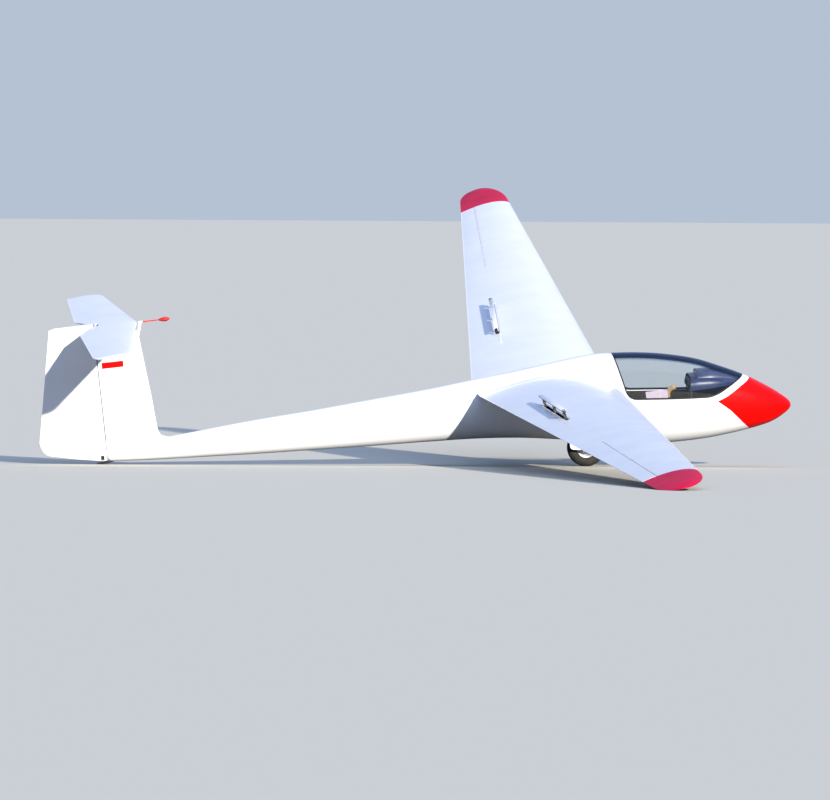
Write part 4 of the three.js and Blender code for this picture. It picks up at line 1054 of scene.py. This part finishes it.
tail = {
    "z": 1826,
    "pivotX": -4190,
    "spans": [  # y, front, rear
        [0, -4036, -4602], [1660, -4229, -4569], [1690, -4237, -4565],
        [1715, -4254, -4556], [1730, -4271, -4545], [1740, -4290, -4530],
    ],
}
tailY, tailFront, tailRear = np.array(tail["spans"], float).T


def tailRing(y):
    front, rear = (np.interp(abs(y), tailY, line) for line in (tailFront, tailRear))
    return foilRing((front, y, tail["z"]), (rear, y, tail["z"]), skyward, 0.1, 0)


halfSpans = np.concatenate([np.linspace(0, 1640, 16), np.linspace(1660, 1740, 14)])
tailSpans = np.concatenate([-halfSpans[:0:-1], halfSpans])
tailplane = gridObject("tailplane_skin", [tailRing(y) for y in tailSpans])
# Its rear middle is cut out over the rudder, as a flat outline in plan
plan = [(-4396, -62), (-4396, 62), (-4470, 78), (-4620, 430), (-4620, -430), (-4470, -78)]
notch = gridObject("notch", [[(x, y, tail["z"] + rise) for x, y in plan] for rise in (-100, 100)])
pivotX = tail["pivotX"]
low, high = (pivotX - 50, -18, tail["z"] - 60), (pivotX + 50, 18, tail["z"] + 16)
combine(tailplane, [notch, boxObject("pocket", low, high)])
settle(tailplane, whiteGelcoat, slot, "tailplane", body="tailplane", smooth=30)

# Plain red bar near the top of the fin, on both sides
for side, word in sides:
    rows = []
    for z in np.linspace(1435, 1492, 8):
        front, rear = finEdges(z)
        at = (front - np.linspace(-4204, -4405, 24)) / (front - rear)
        ends = (front, 0, z), (rear, 0, z)
        rows.append(foilSide(*ends, sideward, fin["thickness"], 0, at, side))
    rows = np.array(rows) + [0, side * 0.3, 0]
    bar = gridObject(f"fin_bar_{word}", rows, closeRows=False, capEnds=False)
    settle(bar, redGelcoat, "red_gelcoat", smooth=60)

# Probe on the fin: gusset, stub, tube, and a cloth cover with its tie
probe = {"z": 1826, "root": -4026, "neck": -3985, "tip": -3834, "coverLength": 103}
low, high = (float(finEdges(z)[0]) + 0.8 for z in (1690, 1758))
gussetLine = [(low, 1690), (-3996, 1817), (-4024, 1817), (high, 1758)]
gusset = soften(sidePrism("probe_gusset_form", gussetLine, -5, 5), 1.5)
settle(gusset, whiteGelcoat, "white_lacquered_wood", "probe_gusset")
stubProfile = [(0, 8.6), (0.5, 8.4), (0.9, 6.4), (1, 6)]
root, neck, tip = ((probe[key], 0, probe["z"]) for key in ("root", "neck", "tip"))
stubRod = barObject("probe_stub_form", root, neck, stubProfile, 40)
settle(stubRod, whiteGelcoat, "white_gelcoat", "probe_stub")
neck = (probe["neck"] + 0.3, 0, probe["z"])
tubeRod = barObject("probe_tube_form", neck, tip, [(0, 5), (1, 5)], 32)
settle(tubeRod, redGelcoat, "red_gelcoat", "probe_tube")
# The cover swells from its neck and rounds off at the tip, in eight shallow gores
u = np.linspace(0, 1, 60)
at = [0, 0.06, 0.2, 0.4, 0.6, 0.8, 0.93, 1]
girth = np.interp(u, at, [7.5, 9, 15, 20.5, 21.5, 17, 9, 0.4])
girth = np.convolve(np.pad(girth, 3, mode="edge"), np.ones(7) / 7, "valid")
girth[-1] = 0.4
girth, u = girth[:, None], u[:, None]
angle = np.linspace(0, 2 * np.pi, 96, endpoint=False)
gores = 1 - 0.05 * np.abs(np.cos(4 * angle)) ** 6
x = probe["tip"] + 0.3 + probe["coverLength"] * u + 0 * angle
y = girth * (gores * np.cos(angle))
z = probe["z"] + girth * (gores * np.sin(angle))
cover = gridObject("probe_cover_form", np.stack([x, y, z], axis=-1))
settle(cover, redTape, "red_gelcoat", "probe_cover", smooth=60)
tieRing = [(9.2, 0), (11, 1), (11, 5), (9.2, 6)]
tie = latheObject("probe_cover_tie", tieRing, (probe["tip"] + 5, 0, probe["z"]), (1, 0, 0), 48)
settle(tie, webbing, "red_gelcoat")

# Bracket that carries the tailplane on its pin
bladeLine = [(x, finTopAt(x) + 0.2) for x in (-4232, -4148)] + [(-4166, 1816), (-4214, 1816)]
blade = soften(sidePrism("tailplane_bracket_form", bladeLine, -13, 13), 1.5)
eye = barObject("eye", (pivotX, -13, 1822), (pivotX, 13, 1822), [(0, 13), (1, 13)], 48)
pin = [(0, 7), (0.02, 8), (0.98, 8), (1, 7)]
pin = barObject("pin", (pivotX, -55, 1826), (pivotX, 55, 1826), pin)
settle(combine(blade, [eye, pin], "UNION"), whitePaint, "plated_steel", "tailplane_bracket")

for side, word in sides:
    # A black heel sheet that follows the rudder's lower front corner, with its rivets
    z, x = np.linspace(586, 628, 8)[:, None], np.linspace(-4468, -4500, 24)[None, :]
    sheet = np.stack([x + 0 * z, side * (finHalf(x, z) + 0.8), z + 0 * x], axis=-1)
    heel = gridObject(f"rudder_heel_{word}", sheet, closeRows=False, capEnds=False)
    settle(heel, blackEnamel, "black_enamel", body="rudder", smooth=60)
    rivets = []
    for x, z in ((-4474, 592), (-4474, 620), (-4494, 592), (-4494, 620)):
        foot = np.array([x, side * (float(finHalf(x, z)) + 0.6), z])
        head = [(0, 2.8), (0.5, 2.4), (1, 1)]
        rivets.append(barObject("rivet", foot, foot + sideward * side * 1.6, head, 14))
    rivets = merged(f"rudder_rivets_{word}", rivets)
    settle(rivets, zincSteel, "plated_steel", body="rudder")
    # A grey line runs across the foot of the rudder along its panel line, painted shade of the
    # groove
    band = [(-2.6, -0.3), (2.6, -0.3), (2.3, 0.3), (-2.3, 0.3)]
    shadedGrooves = [((-4594, 670), (-4991, 744), skyward), ((-4588, 613), (-4594, 670), -rearward)]
    for number, (one, other, across) in enumerate(shadedGrooves):
        x, z = np.linspace(one, other, 40).T
        line = np.column_stack([x, side * (finHalf(x, z) + 0.2), z])
        seam = sweepObject(f"rudder_groove_shade_{number}_{word}", line, band, across)
        settle(seam, greyRubberAndGapShade, "white_lacquered_wood", body="rudder")
    # Tape over the joint between the wing root and the hull's own stub
    rows = []
    for spanY in np.linspace(317, 343, 5):
        ring = wingRing(spanY, side)
        out = unit(np.cross(np.roll(ring, -1, axis=0) - np.roll(ring, 1, axis=0), sideward))
        away = np.sign(np.sum(out * (ring - ring.mean(axis=0))))
        rows.append(ring + out * away * 0.5)
    tape = gridObject(f"root_tape_{word}", rows, capEnds=False)
    settle(tape, tapeWhite, "white_gelcoat", smooth=60)
    # A small moulded fairing, an ellipsoid, stands at the root's leading edge
    noseAt = wingChord(318, side)[0]
    u = np.linspace(0.02, np.pi - 0.02, 24)[:, None]
    v = np.linspace(0, 2 * np.pi, 48, endpoint=False)[None, :]
    x = noseAt[0] - 12 + 24 * np.sin(u) * np.cos(v)
    y = noseAt[1] + 30 * np.cos(u) + 0 * v
    z = noseAt[2] + 9 + 16 * np.sin(u) * np.sin(v)
    blob = gridObject(f"root_fairing_{word}", np.stack([x, y, z], axis=-1))
    settle(blob, whiteGelcoat, "white_gelcoat", smooth=60)
print("tail built")

# Cockpit: the seat shell is one curve in side view, and the cushions lie along it

seatLine = [[368, 636], [420, 500], [470, 372], [508, 308], [560, 262], [608, 238], [660, 226]]
seatLine += [[745, 226], [850, 226], [910, 250], [960, 288], [1010, 292]]
seatCurve = smoothPath(seatLine, 400)
seatCurve[:, 0] = np.clip(seatCurve[:, 0], 366, 1010)
seatTangent = unit(np.gradient(seatCurve, axis=0))
seatNormal = np.column_stack([-seatTangent[:, 1], seatTangent[:, 0]])


# A point above the seat: x picks the place on the curve, lift is measured square to it
def onSeat(x, y, lift):
    x, y, lift = np.broadcast_arrays(*(np.asarray(a, float) for a in (x, y, lift)))
    index = np.arange(len(seatCurve))
    at = np.interp(x, seatCurve[:, 0], index)
    footX, footZ, normalX, normalZ = (
        np.interp(at, index, column) for column in (*seatCurve.T, *seatNormal.T)
    )
    return np.stack([footX + normalX * lift, y, footZ + normalZ * lift], axis=-1)


def cabinTool(inset=12.8):
    return hullObject("cabin_tool", 1845, 323, inset, 90, 96)


# The shell's edges turn up as a power of the distance past 176 mm, to 30 mm
x = seatCurve[::4, 0][:, None]
y = np.linspace(-236, 236, 61)[None, :]
bolster = 30 * np.clip((np.abs(y) - 176) / 60, 0, 1) ** 1.6 + 0 * x
layers = [onSeat(x, y, bolster - 0.3), onSeat(x, y, bolster - 6)[:, ::-1]]
shell = gridObject("seat_shell_form", np.concatenate(layers, axis=1))
combine(shell, [cabinTool()], "INTERSECT")
settle(shell, blackLaminateAndHollowShade, "black_laminate", "seat_shell", smooth=50)

pad = {"halfWide": 165, "thick": 36, "swell": 0.012, "voxel": 0.005, "pressure": 4, "channel": 7}
seatUp = (0.55, 0.0, 0.83)  # straight out of the seat, so it never runs along the piping


# Blown up by cloth simulation from a slightly smaller form, then held inside the room it has. The
# sewn channels are pressed in afterwards, each a narrow bell-shaped dent across or along the pad.
def cushion(name, rear, front, channelsAcross, channelsAlong, node):
    halfWide, thick = pad["halfWide"], pad["thick"]
    u = np.linspace(0, 1, 40)[:, None]
    around = np.linspace(0, 2 * np.pi, 72, endpoint=False)[None, :]
    x = rear + 7 + (front - rear - 14) * u + 0 * around
    edge = np.sqrt(1 - np.abs(2 * u - 1) ** 10 * 0.75)
    y = (halfWide - 8) * rounded(np.cos(around), 0.32) * (0.97 + 0.03 * edge)
    lift = 4 + (thick - 12) / 2 * (1 + rounded(np.sin(around), 0.7) * edge)
    form = gridObject(name, onSeat(x, y, lift) * 0.001)
    remesh = form.modifiers.new("remesh", "REMESH")
    remesh.mode = "VOXEL"
    remesh.voxel_size = pad["voxel"]
    before = vertsOf(bake(form))
    swell = form.modifiers.new("swell", "CLOTH")
    swell.settings.use_pressure = True
    swell.settings.uniform_pressure_force = pad["pressure"]
    swell.settings.effector_weights.gravity = 0
    for frameNumber in range(1, 21):
        bpy.context.scene.frame_set(frameNumber)
    bake(form)
    bpy.context.scene.frame_set(1)
    move = vertsOf(form) - before
    far = np.linalg.norm(move, axis=1)[:, None]
    setVerts(form, (before + move * np.minimum(1, pad["swell"] / np.maximum(far, 1e-9))) * 1000)
    finer = form.modifiers.new("finer", "SUBSURF")
    finer.levels = finer.render_levels = 1
    points = vertsOf(bake(form))
    # The nearest place on the seat curve gives each point its own x and height above the shell
    flat = points[:, [0, 2]]
    nearest = np.argmin(np.sum((flat[:, None] - seatCurve[None, ::4]) ** 2, axis=2), axis=1) * 4
    foot, normal, tangent = seatCurve[nearest], seatNormal[nearest], seatTangent[nearest]
    lift = np.sum((flat - foot) * normal, axis=1)
    slide = np.sum((flat - foot) * tangent, axis=1)
    rise = np.clip(lift / thick, 0, 1) ** 2
    dent = sum(np.exp(-(((foot[:, 0] - c) / 4) ** 2)) for c in channelsAcross)
    dent = dent + sum(np.exp(-(((points[:, 1] - c) / 4.5) ** 2)) for c in channelsAlong)
    lift = np.clip(lift, 0.5, thick + 3) - pad["channel"] * rise * np.clip(dent, 0, 1)
    side = np.clip(points[:, 1], -halfWide, halfWide)
    flat = foot + normal * lift[:, None] + tangent * slide[:, None]
    setVerts(form, np.column_stack([flat[:, 0], side, flat[:, 1]]))
    settle(form, seatCloth, "black_fabric", node, smooth=180, padded=0.8)
    # Piping is sewn round the upper edge
    x0, x1, y1 = rear + 12, front - 10, halfWide - 7
    corners = np.array([(x0, -y1), (x1, -y1), (x1, y1), (x0, y1)], float)
    t = np.linspace(0.04, 0.96, 40)[None, :, None]
    ahead = np.roll(corners, -1, axis=0)
    loop = (corners[:, None] + (ahead - corners)[:, None] * t).reshape(-1, 2)
    path = onSeat(loop[:, 0], loop[:, 1], thick - 6)
    piping = sweepObject(f"{name}_piping", path, circleSection(2.6), seatUp, closePath=True)
    settle(piping, bootCloth, "black_fabric", smooth=60)


cushion("back_pad", 372, 548, [418, 452, 486, 518], [-92, 92], "back_cushion")
cushion("seat_pad", 580, 745, [632, 690], [-60, 60], "seat_cushion")
print("cushions blown up")

# Harness: flat webbing with folded ends, a rotary buckle, and adjusters on the shoulder straps
harness = {
    "section": [(-22, -0.9), (22, -0.9), (22.4, 0), (22, 0.9), (-22, 0.9), (-22.4, 0)],
    "buckleX": 690.0,
    "buckleLift": 43.0,
    # x along the seat, y out from the middle, lift above the shell
    "shoulder": (
        [369, 380, 430, 480, 530, 570, 610, 650, 678],
        [62, 62, 62, 60, 56, 50, 42, 30, 18],
        [41, 41, 41, 41, 42, 46, 44, 43, 43],
    ),
    "lap": (
        [560, 572, 590, 620, 650, 676],
        [178, 168, 150, 110, 60, 26],
        [14, 30, 41, 42, 42, 42],
    ),
}
straps, fittings = [], []
fine = np.linspace(0, 1, 60)
for side, word in sides:
    for key, across in (("shoulder", (0, 1, 0)), ("lap", (1, 0, 0))):
        xs, ys, lifts = harness[key]
        spots = np.linspace(0, 1, len(xs))
        lines = [curveThrough(spots, v, fine) for v in (xs, side * np.array(ys), lifts)]
        straps.append(sweepObject("strap", onSeat(*lines), harness["section"], across))
    for at, across in ((446, 61), (620, 41)):
        centre = onSeat(at, side * across, 45)
        ahead = unit(onSeat(at + 6, side * across, 45) - centre)
        ladder = [(-27, -9), (27, -9), (27, 9), (-27, 9)]
        loop = [centre + sideward * a + ahead * b for a, b in ladder]
        for one, other in zip(loop, loop[1:] + loop[:1]):
            fittings.append(barObject("rung", one, other, [(0, 2.2), (1, 2.2)], 12))
path = onSeat(np.linspace(760, 700, 30), np.zeros(30), np.linspace(3, 42, 30))
straps.append(sweepObject("strap", path, harness["section"], (0, 1, 0)))
settle(merged("harness_straps", straps), webbing, "blue_plastic", smooth=50)
buckleX = harness["buckleX"]
middle = onSeat(buckleX, 0, harness["buckleLift"])
lookUp = unit(onSeat(buckleX, 0, 60) - onSeat(buckleX, 0, 20))
case = [(0.3, -4), (30, -4), (33, -1), (33, 7), (29, 10), (12, 11), (0.3, 11)]
fittings.append(latheObject("buckle", case, middle, lookUp, 64))
settle(merged("harness_fittings", fittings), zincSteel, "plated_steel")
knob = [(0.3, 11), (22, 11), (24, 13), (23, 18), (18, 20), (0.3, 19)]
knob = latheObject("buckle_knob", knob, middle, lookUp, 64)
combine(knob, [boxObject("groove", middle + [-3, -30, 16.5], middle + [3, 30, 30])])
settle(knob, redTape, "red_gelcoat")

# Instrument cover: a low cowl and a taller hump, each a row of flattened arches. Rows are x, top,
# half width.
hood = {
    "skin": 5,
    "floor": 632,
    "lean": 30,
    "cowl": [
        [990, 750, 208], [1070, 750, 207], [1220, 734, 190], [1360, 700, 146], [1490, 660, 74],
    ],
    "hump": [
        [1058, 790, 170], [1150, 790, 162], [1240, 784, 148], [1400, 734, 102], [1500, 690, 60],
    ],
}
cowlTable, humpTable = (np.array(hood[key], float) for key in ("cowl", "hump"))


# An arch is a superellipse from the floor up. The rear edge leans forward towards its top.
def hoodRing(x, top, half, inset, lean=0):
    angle = np.linspace(0, np.pi, 73)
    floor = hood["floor"] - 4 * inset
    y = (half - inset) * rounded(np.cos(angle), 0.55)
    rise = np.clip(np.sin(angle), 0, 1) ** 0.55
    return np.column_stack([x + lean * rise, y, floor + (top - inset - floor) * rise])


def hoodLoft(name, table, inset, rearShift):
    places = table[:, 0].copy()
    places[0] += rearShift
    places[-1] -= inset
    fine = np.linspace(places[0], places[-1], 60)
    tops, halves = (curveThrough(places, column, fine) for column in table.T[1:])
    leans = np.clip((1200 - fine) / (1200 - fine[0]), 0, 1) * hood["lean"]
    rows = [hoodRing(x, z, y, inset, lean) for x, z, y, lean in zip(fine, tops, halves, leans)]
    return gridObject(name, rows)


def hoodForm(name, inset):
    form = hoodLoft(name, cowlTable, inset, -2 * inset)
    combine(form, [hoodLoft("hump", humpTable, inset, inset)], "UNION")
    limit = hullObject("hood_limit", 1845, 322, 21 + inset, 90, 96)
    return combine(form, [limit], "INTERSECT")


cover = hoodForm("instrument_cover_form", 0)
combine(cover, [hoodForm("hood_room", hood["skin"])])
settle(cover, navyVinyl, "navy_cover", "instrument_cover", smooth=40)
# Rolled and stitched edges along the rear of both parts
for label, table, lowest in (("cowl", cowlTable, hood["floor"] + 3), ("hump", humpTable, 748)):
    path = hoodRing(table[0, 0] - 1.5, table[0, 1], table[0, 2], 1.0, hood["lean"])
    path = path[path[:, 2] > lowest]
    path = path[insideHull(path, 24.5)]
    edge = sweepObject(f"cover_edge_{label}", path, circleSection(3.4, 12), (1, 0, 0))
    settle(edge, bootCloth, "navy_cover", smooth=60)

# Instrument panel with its round dials
panel = gridObject("instrument_panel_form", [hoodRing(x, 730, 206, 6) for x in (1000, 1014)])
lower = boxObject("lower", (1000, -160, 420), (1014, 160, 620))
foot = boxObject("foot", (1000.02, -60, 292.3), (1044, 60, 440))
combine(panel, [lower, foot], "UNION")
combine(panel, [cabinTool(13.2)], "INTERSECT")
settle(panel, blackEnamel, "black_enamel", "instrument_panel")
dials = [  # y, z, radius, where the needle points in radians
    (-104, 670, 38, 0.8), (0, 672, 40, 2.2), (104, 670, 38, -0.9), (-104, 580, 40, 1.4),
    (0, 586, 40, -2.0), (104, 580, 40, 2.8), (-100, 487, 29, 0.2), (100, 487, 29, -0.4),
]


# A flat form on a dial: (out from the middle, across) points, raised off the panel
def dialForm(name, centre, turn, outline, lift, thick):
    out = np.array([0, math.sin(turn), math.cos(turn)])
    across = np.array([0, math.cos(turn), -math.sin(turn)])
    low = np.array([centre + rearward * lift + out * r + across * w for r, w in outline])
    return gridObject(name, [low, low + rearward * thick])


bezels, cards, marks, needles, screws = [], [], [], [], []
for y, z, radius, reading in dials:
    centre = np.array([1000.0, y, z])
    ring = [(radius, -0.5), (radius, 4), (radius - 2, 6), (radius - 5, 5)]
    ring += [(radius - 6.5, 1.6), (radius - 6.5, -0.5)]
    bezels.append(latheObject("bezel", ring, centre, rearward, 56))
    card = [(0.3, -0.5), (radius - 6.3, -0.5), (radius - 6.3, 1.2), (0.3, 1.2)]
    cards.append(latheObject("card", card, centre, rearward, 40))
    for n, turn in enumerate(np.linspace(-2.5, 2.5, 31)):
        long, w = (5.5, 0.7) if n % 5 == 0 else (3.0, 0.4)
        r1, r0 = radius - 9, radius - 9 - long
        outline = [(r0, -w), (r1, -w), (r1, w), (r0, w)]
        marks.append(dialForm("tick", centre, turn, outline, 1.1, 0.35))
    outline = [(-8, -1.6), (-8, 1.6), (radius - 16, 1.1), (radius - 11, 0), (radius - 16, -1.1)]
    needles.append(dialForm("hand", centre, reading, outline, 2.2, 0.8))
    low, high = centre + rearward * 1.2, centre + rearward * 3.8
    needles.append(barObject("boss", low, high, [(0, 3), (0.7, 3), (1, 2)], 20))
    for dy in (-1, 1):
        for dz in (-1, 1):
            foot = centre + [0, dy * radius * 0.8, dz * radius * 0.8]
            head = [(0, 3), (0.6, 3), (1, 1.8)]
            screws.append(barObject("screw", foot, foot + rearward * 1.6, head, 14))
# A radio set with two knobs, and a row of toggle switches under it
bezels.append(soften(boxObject("radio", (988, -44, 462), (1000.5, 44, 512)), 2))
for y in (-32, 32):
    foot = np.array([988.0, y, 476])
    turnKnob = [(0, 8), (0.85, 7.4), (1, 6)]
    bezels.append(barObject("knob", foot, foot + rearward * 14, turnKnob, 24))
for n in range(5):
    foot = np.array([1000.0, -40 + 20 * n, 440])
    tip = foot + rearward * 15 + [0, 0, 6 if n % 2 else -6]
    screws.append(barObject("nut", foot, foot + rearward * 3, [(0, 5.5), (1, 5.5)], 6))
    screws.append(barObject("toggle", foot, tip, [(0, 1.6), (0.7, 2.2), (1, 3)], 16))
settle(merged("dial_bezels", bezels), blackEnamel, "black_enamel")
settle(merged("dial_cards", cards), dialBlack, "black_enamel")
settle(merged("dial_marks", marks), whitePaint, "black_enamel", smooth=0)
settle(merged("dial_needles", needles), whitePaint, "black_enamel")
settle(merged("panel_screws", screws), zincSteel, "plated_steel")

# Stick: a pleated boot, a painted tube and a leather grip with a seam
pleats = [(0, 34), (0.06, 34)]
for n in range(5):
    pleats += [(0.1 + 0.17 * n, 33 - 1.6 * n), (0.185 + 0.17 * n, 27 - 1.4 * n)]
pleats += [(0.97, 25), (1, 24)]
fine = np.linspace(0, 1, 90)
radii = np.interp(fine, *zip(*pleats))
radii = np.convolve(np.pad(radii, 2, mode="edge"), np.ones(5) / 5, "valid")
boot = np.column_stack([fine, radii])
boot = barObject("stick_boot_form", (804, 0, 226.3), (804, 0, 252), boot, 72)
settle(boot, bootCloth, "black_fabric", "stick_boot", smooth=60)
tube = [(0, 11), (0.03, 11), (0.9, 11), (1, 11)]
tube = barObject("stick_tube", (804, 0, 252.3), (806, 0, 560), tube, 40)
settle(tube, blackEnamel, "black_enamel", "control_stick")
gripLine = [(806.1, 0, 560.8), (808.5, 0, 600), (822, 0, 626), (846, 0, 640), (884, 0, 652)]
gripPath = smoothPath(gripLine, 90)
u = fine
girth = 13 + 2.5 * u + 0.35 * np.sin(u * 4 * 2 * np.pi) - 6 * np.clip((u - 0.93) / 0.07, 0, 1) ** 2
across = np.cross(unit(np.gradient(gripPath, axis=0)), sideward)
turn = np.linspace(0, 2 * np.pi, 40, endpoint=False)[None, :, None]
spokes = np.cos(turn) * sideward + 1.55 * np.sin(turn) * across[:, None]
grip = gridObject("stick_grip_form", gripPath[:, None] + spokes * girth[:, None, None])
settle(grip, tanLeather, "tan_leather", "stick_grip", smooth=60)
seamPath = gripPath[4:84] + across[4:84] * -(1.55 * girth[4:84, None] + 0.3)
seamLine = sweepObject("grip_seam", seamPath, circleSection(0.9, 8), (0, 1, 0))
settle(seamLine, bootCloth, "tan_leather", smooth=60)
ahead = unit(gripPath[-1] - gripPath[-6])
button = [(0, 6), (0.8, 6), (1, 4.6)]
button = barObject("talk_button", gripPath[-3], gripPath[-3] + ahead * 9, button, 28)
settle(button, redTape, "red_gelcoat")

# Map pocket with an elastic hem. Its front bellies out as a sine of both its length and its height.
x = np.linspace(560, 792, 60)[:, None]
z = np.linspace(510, 580, 20)[None, :]
u, t = (x - 560) / 232, (z - 510) / 70
belly = 3.2 * np.sin(np.pi * u) * (1 + 0.25 * np.sin(9 * np.pi * u))
front = -262 - 2.5 + belly * np.sin(np.pi * (0.15 + 0.75 * t))
x, z = x + 0 * z, z + 0 * x
front, back = (np.stack([x, y + 0 * x, z], axis=-1) for y in (front, -320.0))
pocket = gridObject("side_pocket_form", np.concatenate([front, back[:, ::-1]], axis=1))
combine(pocket, [cabinTool(12.9)], "INTERSECT")
settle(pocket, seatCloth, "black_fabric", "side_pocket", smooth=50)
x = np.linspace(563, 789, 90)
y = -263 + 2.5 * np.sin(np.pi * (x - 560) / 232) + 0.7 * np.sin(x / 2.6)
hem = np.column_stack([x, y, np.full(90, 578.0)])
hem = sweepObject("pocket_hem", hem, circleSection(3.2, 12), (0, 1, 0))
settle(hem, bootCloth, "black_fabric", smooth=60)
# The folded chart stands on the pocket: a zigzag in plan whose top curls outwards
x = np.linspace(574, 776, 101)[:, None]
z = np.linspace(580.4, 682, 24)[None, :]
shape = 3.4 * np.abs(((x - 574) / 40.4) % 2 - 1) + 0.6 * ((z - 580) / 80) ** 2
x, z = x + 0 * z, z + 0 * x
front, back = (np.stack([x, y + shape, z], axis=-1) for y in (-267.4, -266.6))
chart = gridObject("folded_chart_form", np.concatenate([front, back[:, ::-1]], axis=1))
settle(chart, mapPaper, "paper", "folded_chart", smooth=20)

# Airbrake lever: a steel rod from the wall, and a blue moulded handle
start, end = np.array([690.0, 300, 470]), np.array([760.0, 214, 520])
rod = barObject("airbrake_rod", start, start + (end - start) * 0.62, [(0, 8), (1, 7)], 28)
combine(rod, [cabinTool(12.9)], "INTERSECT")
settle(rod, zincSteel, "plated_steel")
handle = [(0, 8.5), (0.08, 11), (0.3, 10.6), (0.45, 11.6), (0.6, 10.6), (0.8, 12)]
handle += [(0.94, 10.5), (1, 7)]
handle = barObject("airbrake_handle", start + (end - start) * 0.5, end, handle, 40)
settle(handle, bluePlastic, "blue_plastic", "airbrake_lever", smooth=60)
print("cockpit built")

# Camera at the photograph's place: the fitted attitude of the airframe in the picture

view = {
    "turns": (("Z", 4.663), ("Y", -6.503), ("X", 9.73)),
    "distance": 111.4,
    "pixelsPerMetre": 107.652,
    "middle": (588.04, 466.01),
    "size": (830, 800),
}
pictureTurn = np.eye(3)
for axis, degrees in view["turns"]:
    pictureTurn = pictureTurn @ np.array(Matrix.Rotation(math.radians(degrees), 3, axis))
toRow = axes @ pictureTurn.T
middle, size = np.array(view["middle"]), np.array(view["size"])
offU, offV = (middle - size / 2) / view["pixelsPerMetre"]
cameraData = bpy.data.cameras.new("photo camera")
cameraData.sensor_width = 36
cameraData.lens = view["pixelsPerMetre"] * view["distance"] / view["size"][0] * 36
cameraData.clip_end = 2000
camera = linked("photo camera", cameraData)
columns = [toRow @ [1, 0, 0], toRow @ [0, 0, 1], -(toRow @ [0, 1, 0])]
turn = Matrix(np.column_stack(columns).tolist()).to_4x4()
turn.translation = Vector(toRow @ [-offU, -view["distance"], offV] + groundPoint)
camera.matrix_world = turn
bpy.context.scene.camera = camera

# Floor, sky and lights

reach = 600
floorMesh = bpy.data.meshes.new("floor")
floorCorners = [(-reach, -reach, 0), (reach, -reach, 0), (reach, reach, 0), (-reach, reach, 0)]
floorMesh.from_pydata(floorCorners, [], [(0, 1, 2, 3)])
floor = linked("floor", floorMesh)


# One where the camera looks straight or through glass, nought where only light arrives
def seenIn(tree):
    straight = addNode(tree, "LightPath", output="Is Camera Ray")
    through = addNode(tree, "LightPath", output="Is Transmission Ray")
    return addNode(tree, "Math", {"operation": "MAXIMUM"}, {0: straight, 1: through})


# Pale where the camera sees it, and as dark as short grass where it only throws light back
floorPaint, tree, shader, coords = newMaterial("pale studio floor", {"Roughness": 0.9})
tones = {"stops": [(0.0, "5e5c50"), (1.0, "c6c3b4")]}
tree.links.new(addNode(tree, "ValToRGB", tones, {0: seenIn(tree)}), shader["Base Color"])
floorMesh.materials.append(floorPaint)

world = bpy.data.worlds.new("studio")
bpy.context.scene.world = world
world.use_nodes = True
tree = world.node_tree
skySeen = tree.nodes["Background"]
skySeen.inputs["Color"].default_value = linear("c8d6ea")
skySeen.inputs["Strength"].default_value = 0.8
skyLight = addNode(tree, "Background", {"Color": linear("a6c2fa"), "Strength": 0.62})
both = addNode(tree, "MixShader", {}, {0: seenIn(tree), 1: skyLight, 2: skySeen.outputs[0]})
tree.links.new(both, tree.nodes["World Output"].inputs["Surface"])


def addSun(name, direction, strength, angle, color):
    data = bpy.data.lights.new(name, "SUN")
    data.energy = strength
    data.angle = math.radians(angle)
    data.color = linear(color)[:3]
    lamp = linked(name, data)
    lamp.rotation_mode = "QUATERNION"
    lamp.rotation_quaternion = Vector(direction).to_track_quat("Z", "Y")
    return lamp


key = addSun("key", (0.301, -0.911, 0.281), 6.9, 1.2, "fff6ea")
fill = addSun("fill", (0.1, -0.25, 0.96), 1.0, 60, "d2e1ff")
fill.visible_glossy = False
# The key would draw a hard white streak on the canopy, which the soft sky alone doesn't
unlit = bpy.data.collections.new("kept out of the key")
unlit.objects.link(glass)
unlit.collection_objects[0].light_linking.link_state = "EXCLUDE"
key.light_linking.receiver_collection = unlit
bpy.context.scene.view_settings.view_transform = "Standard"
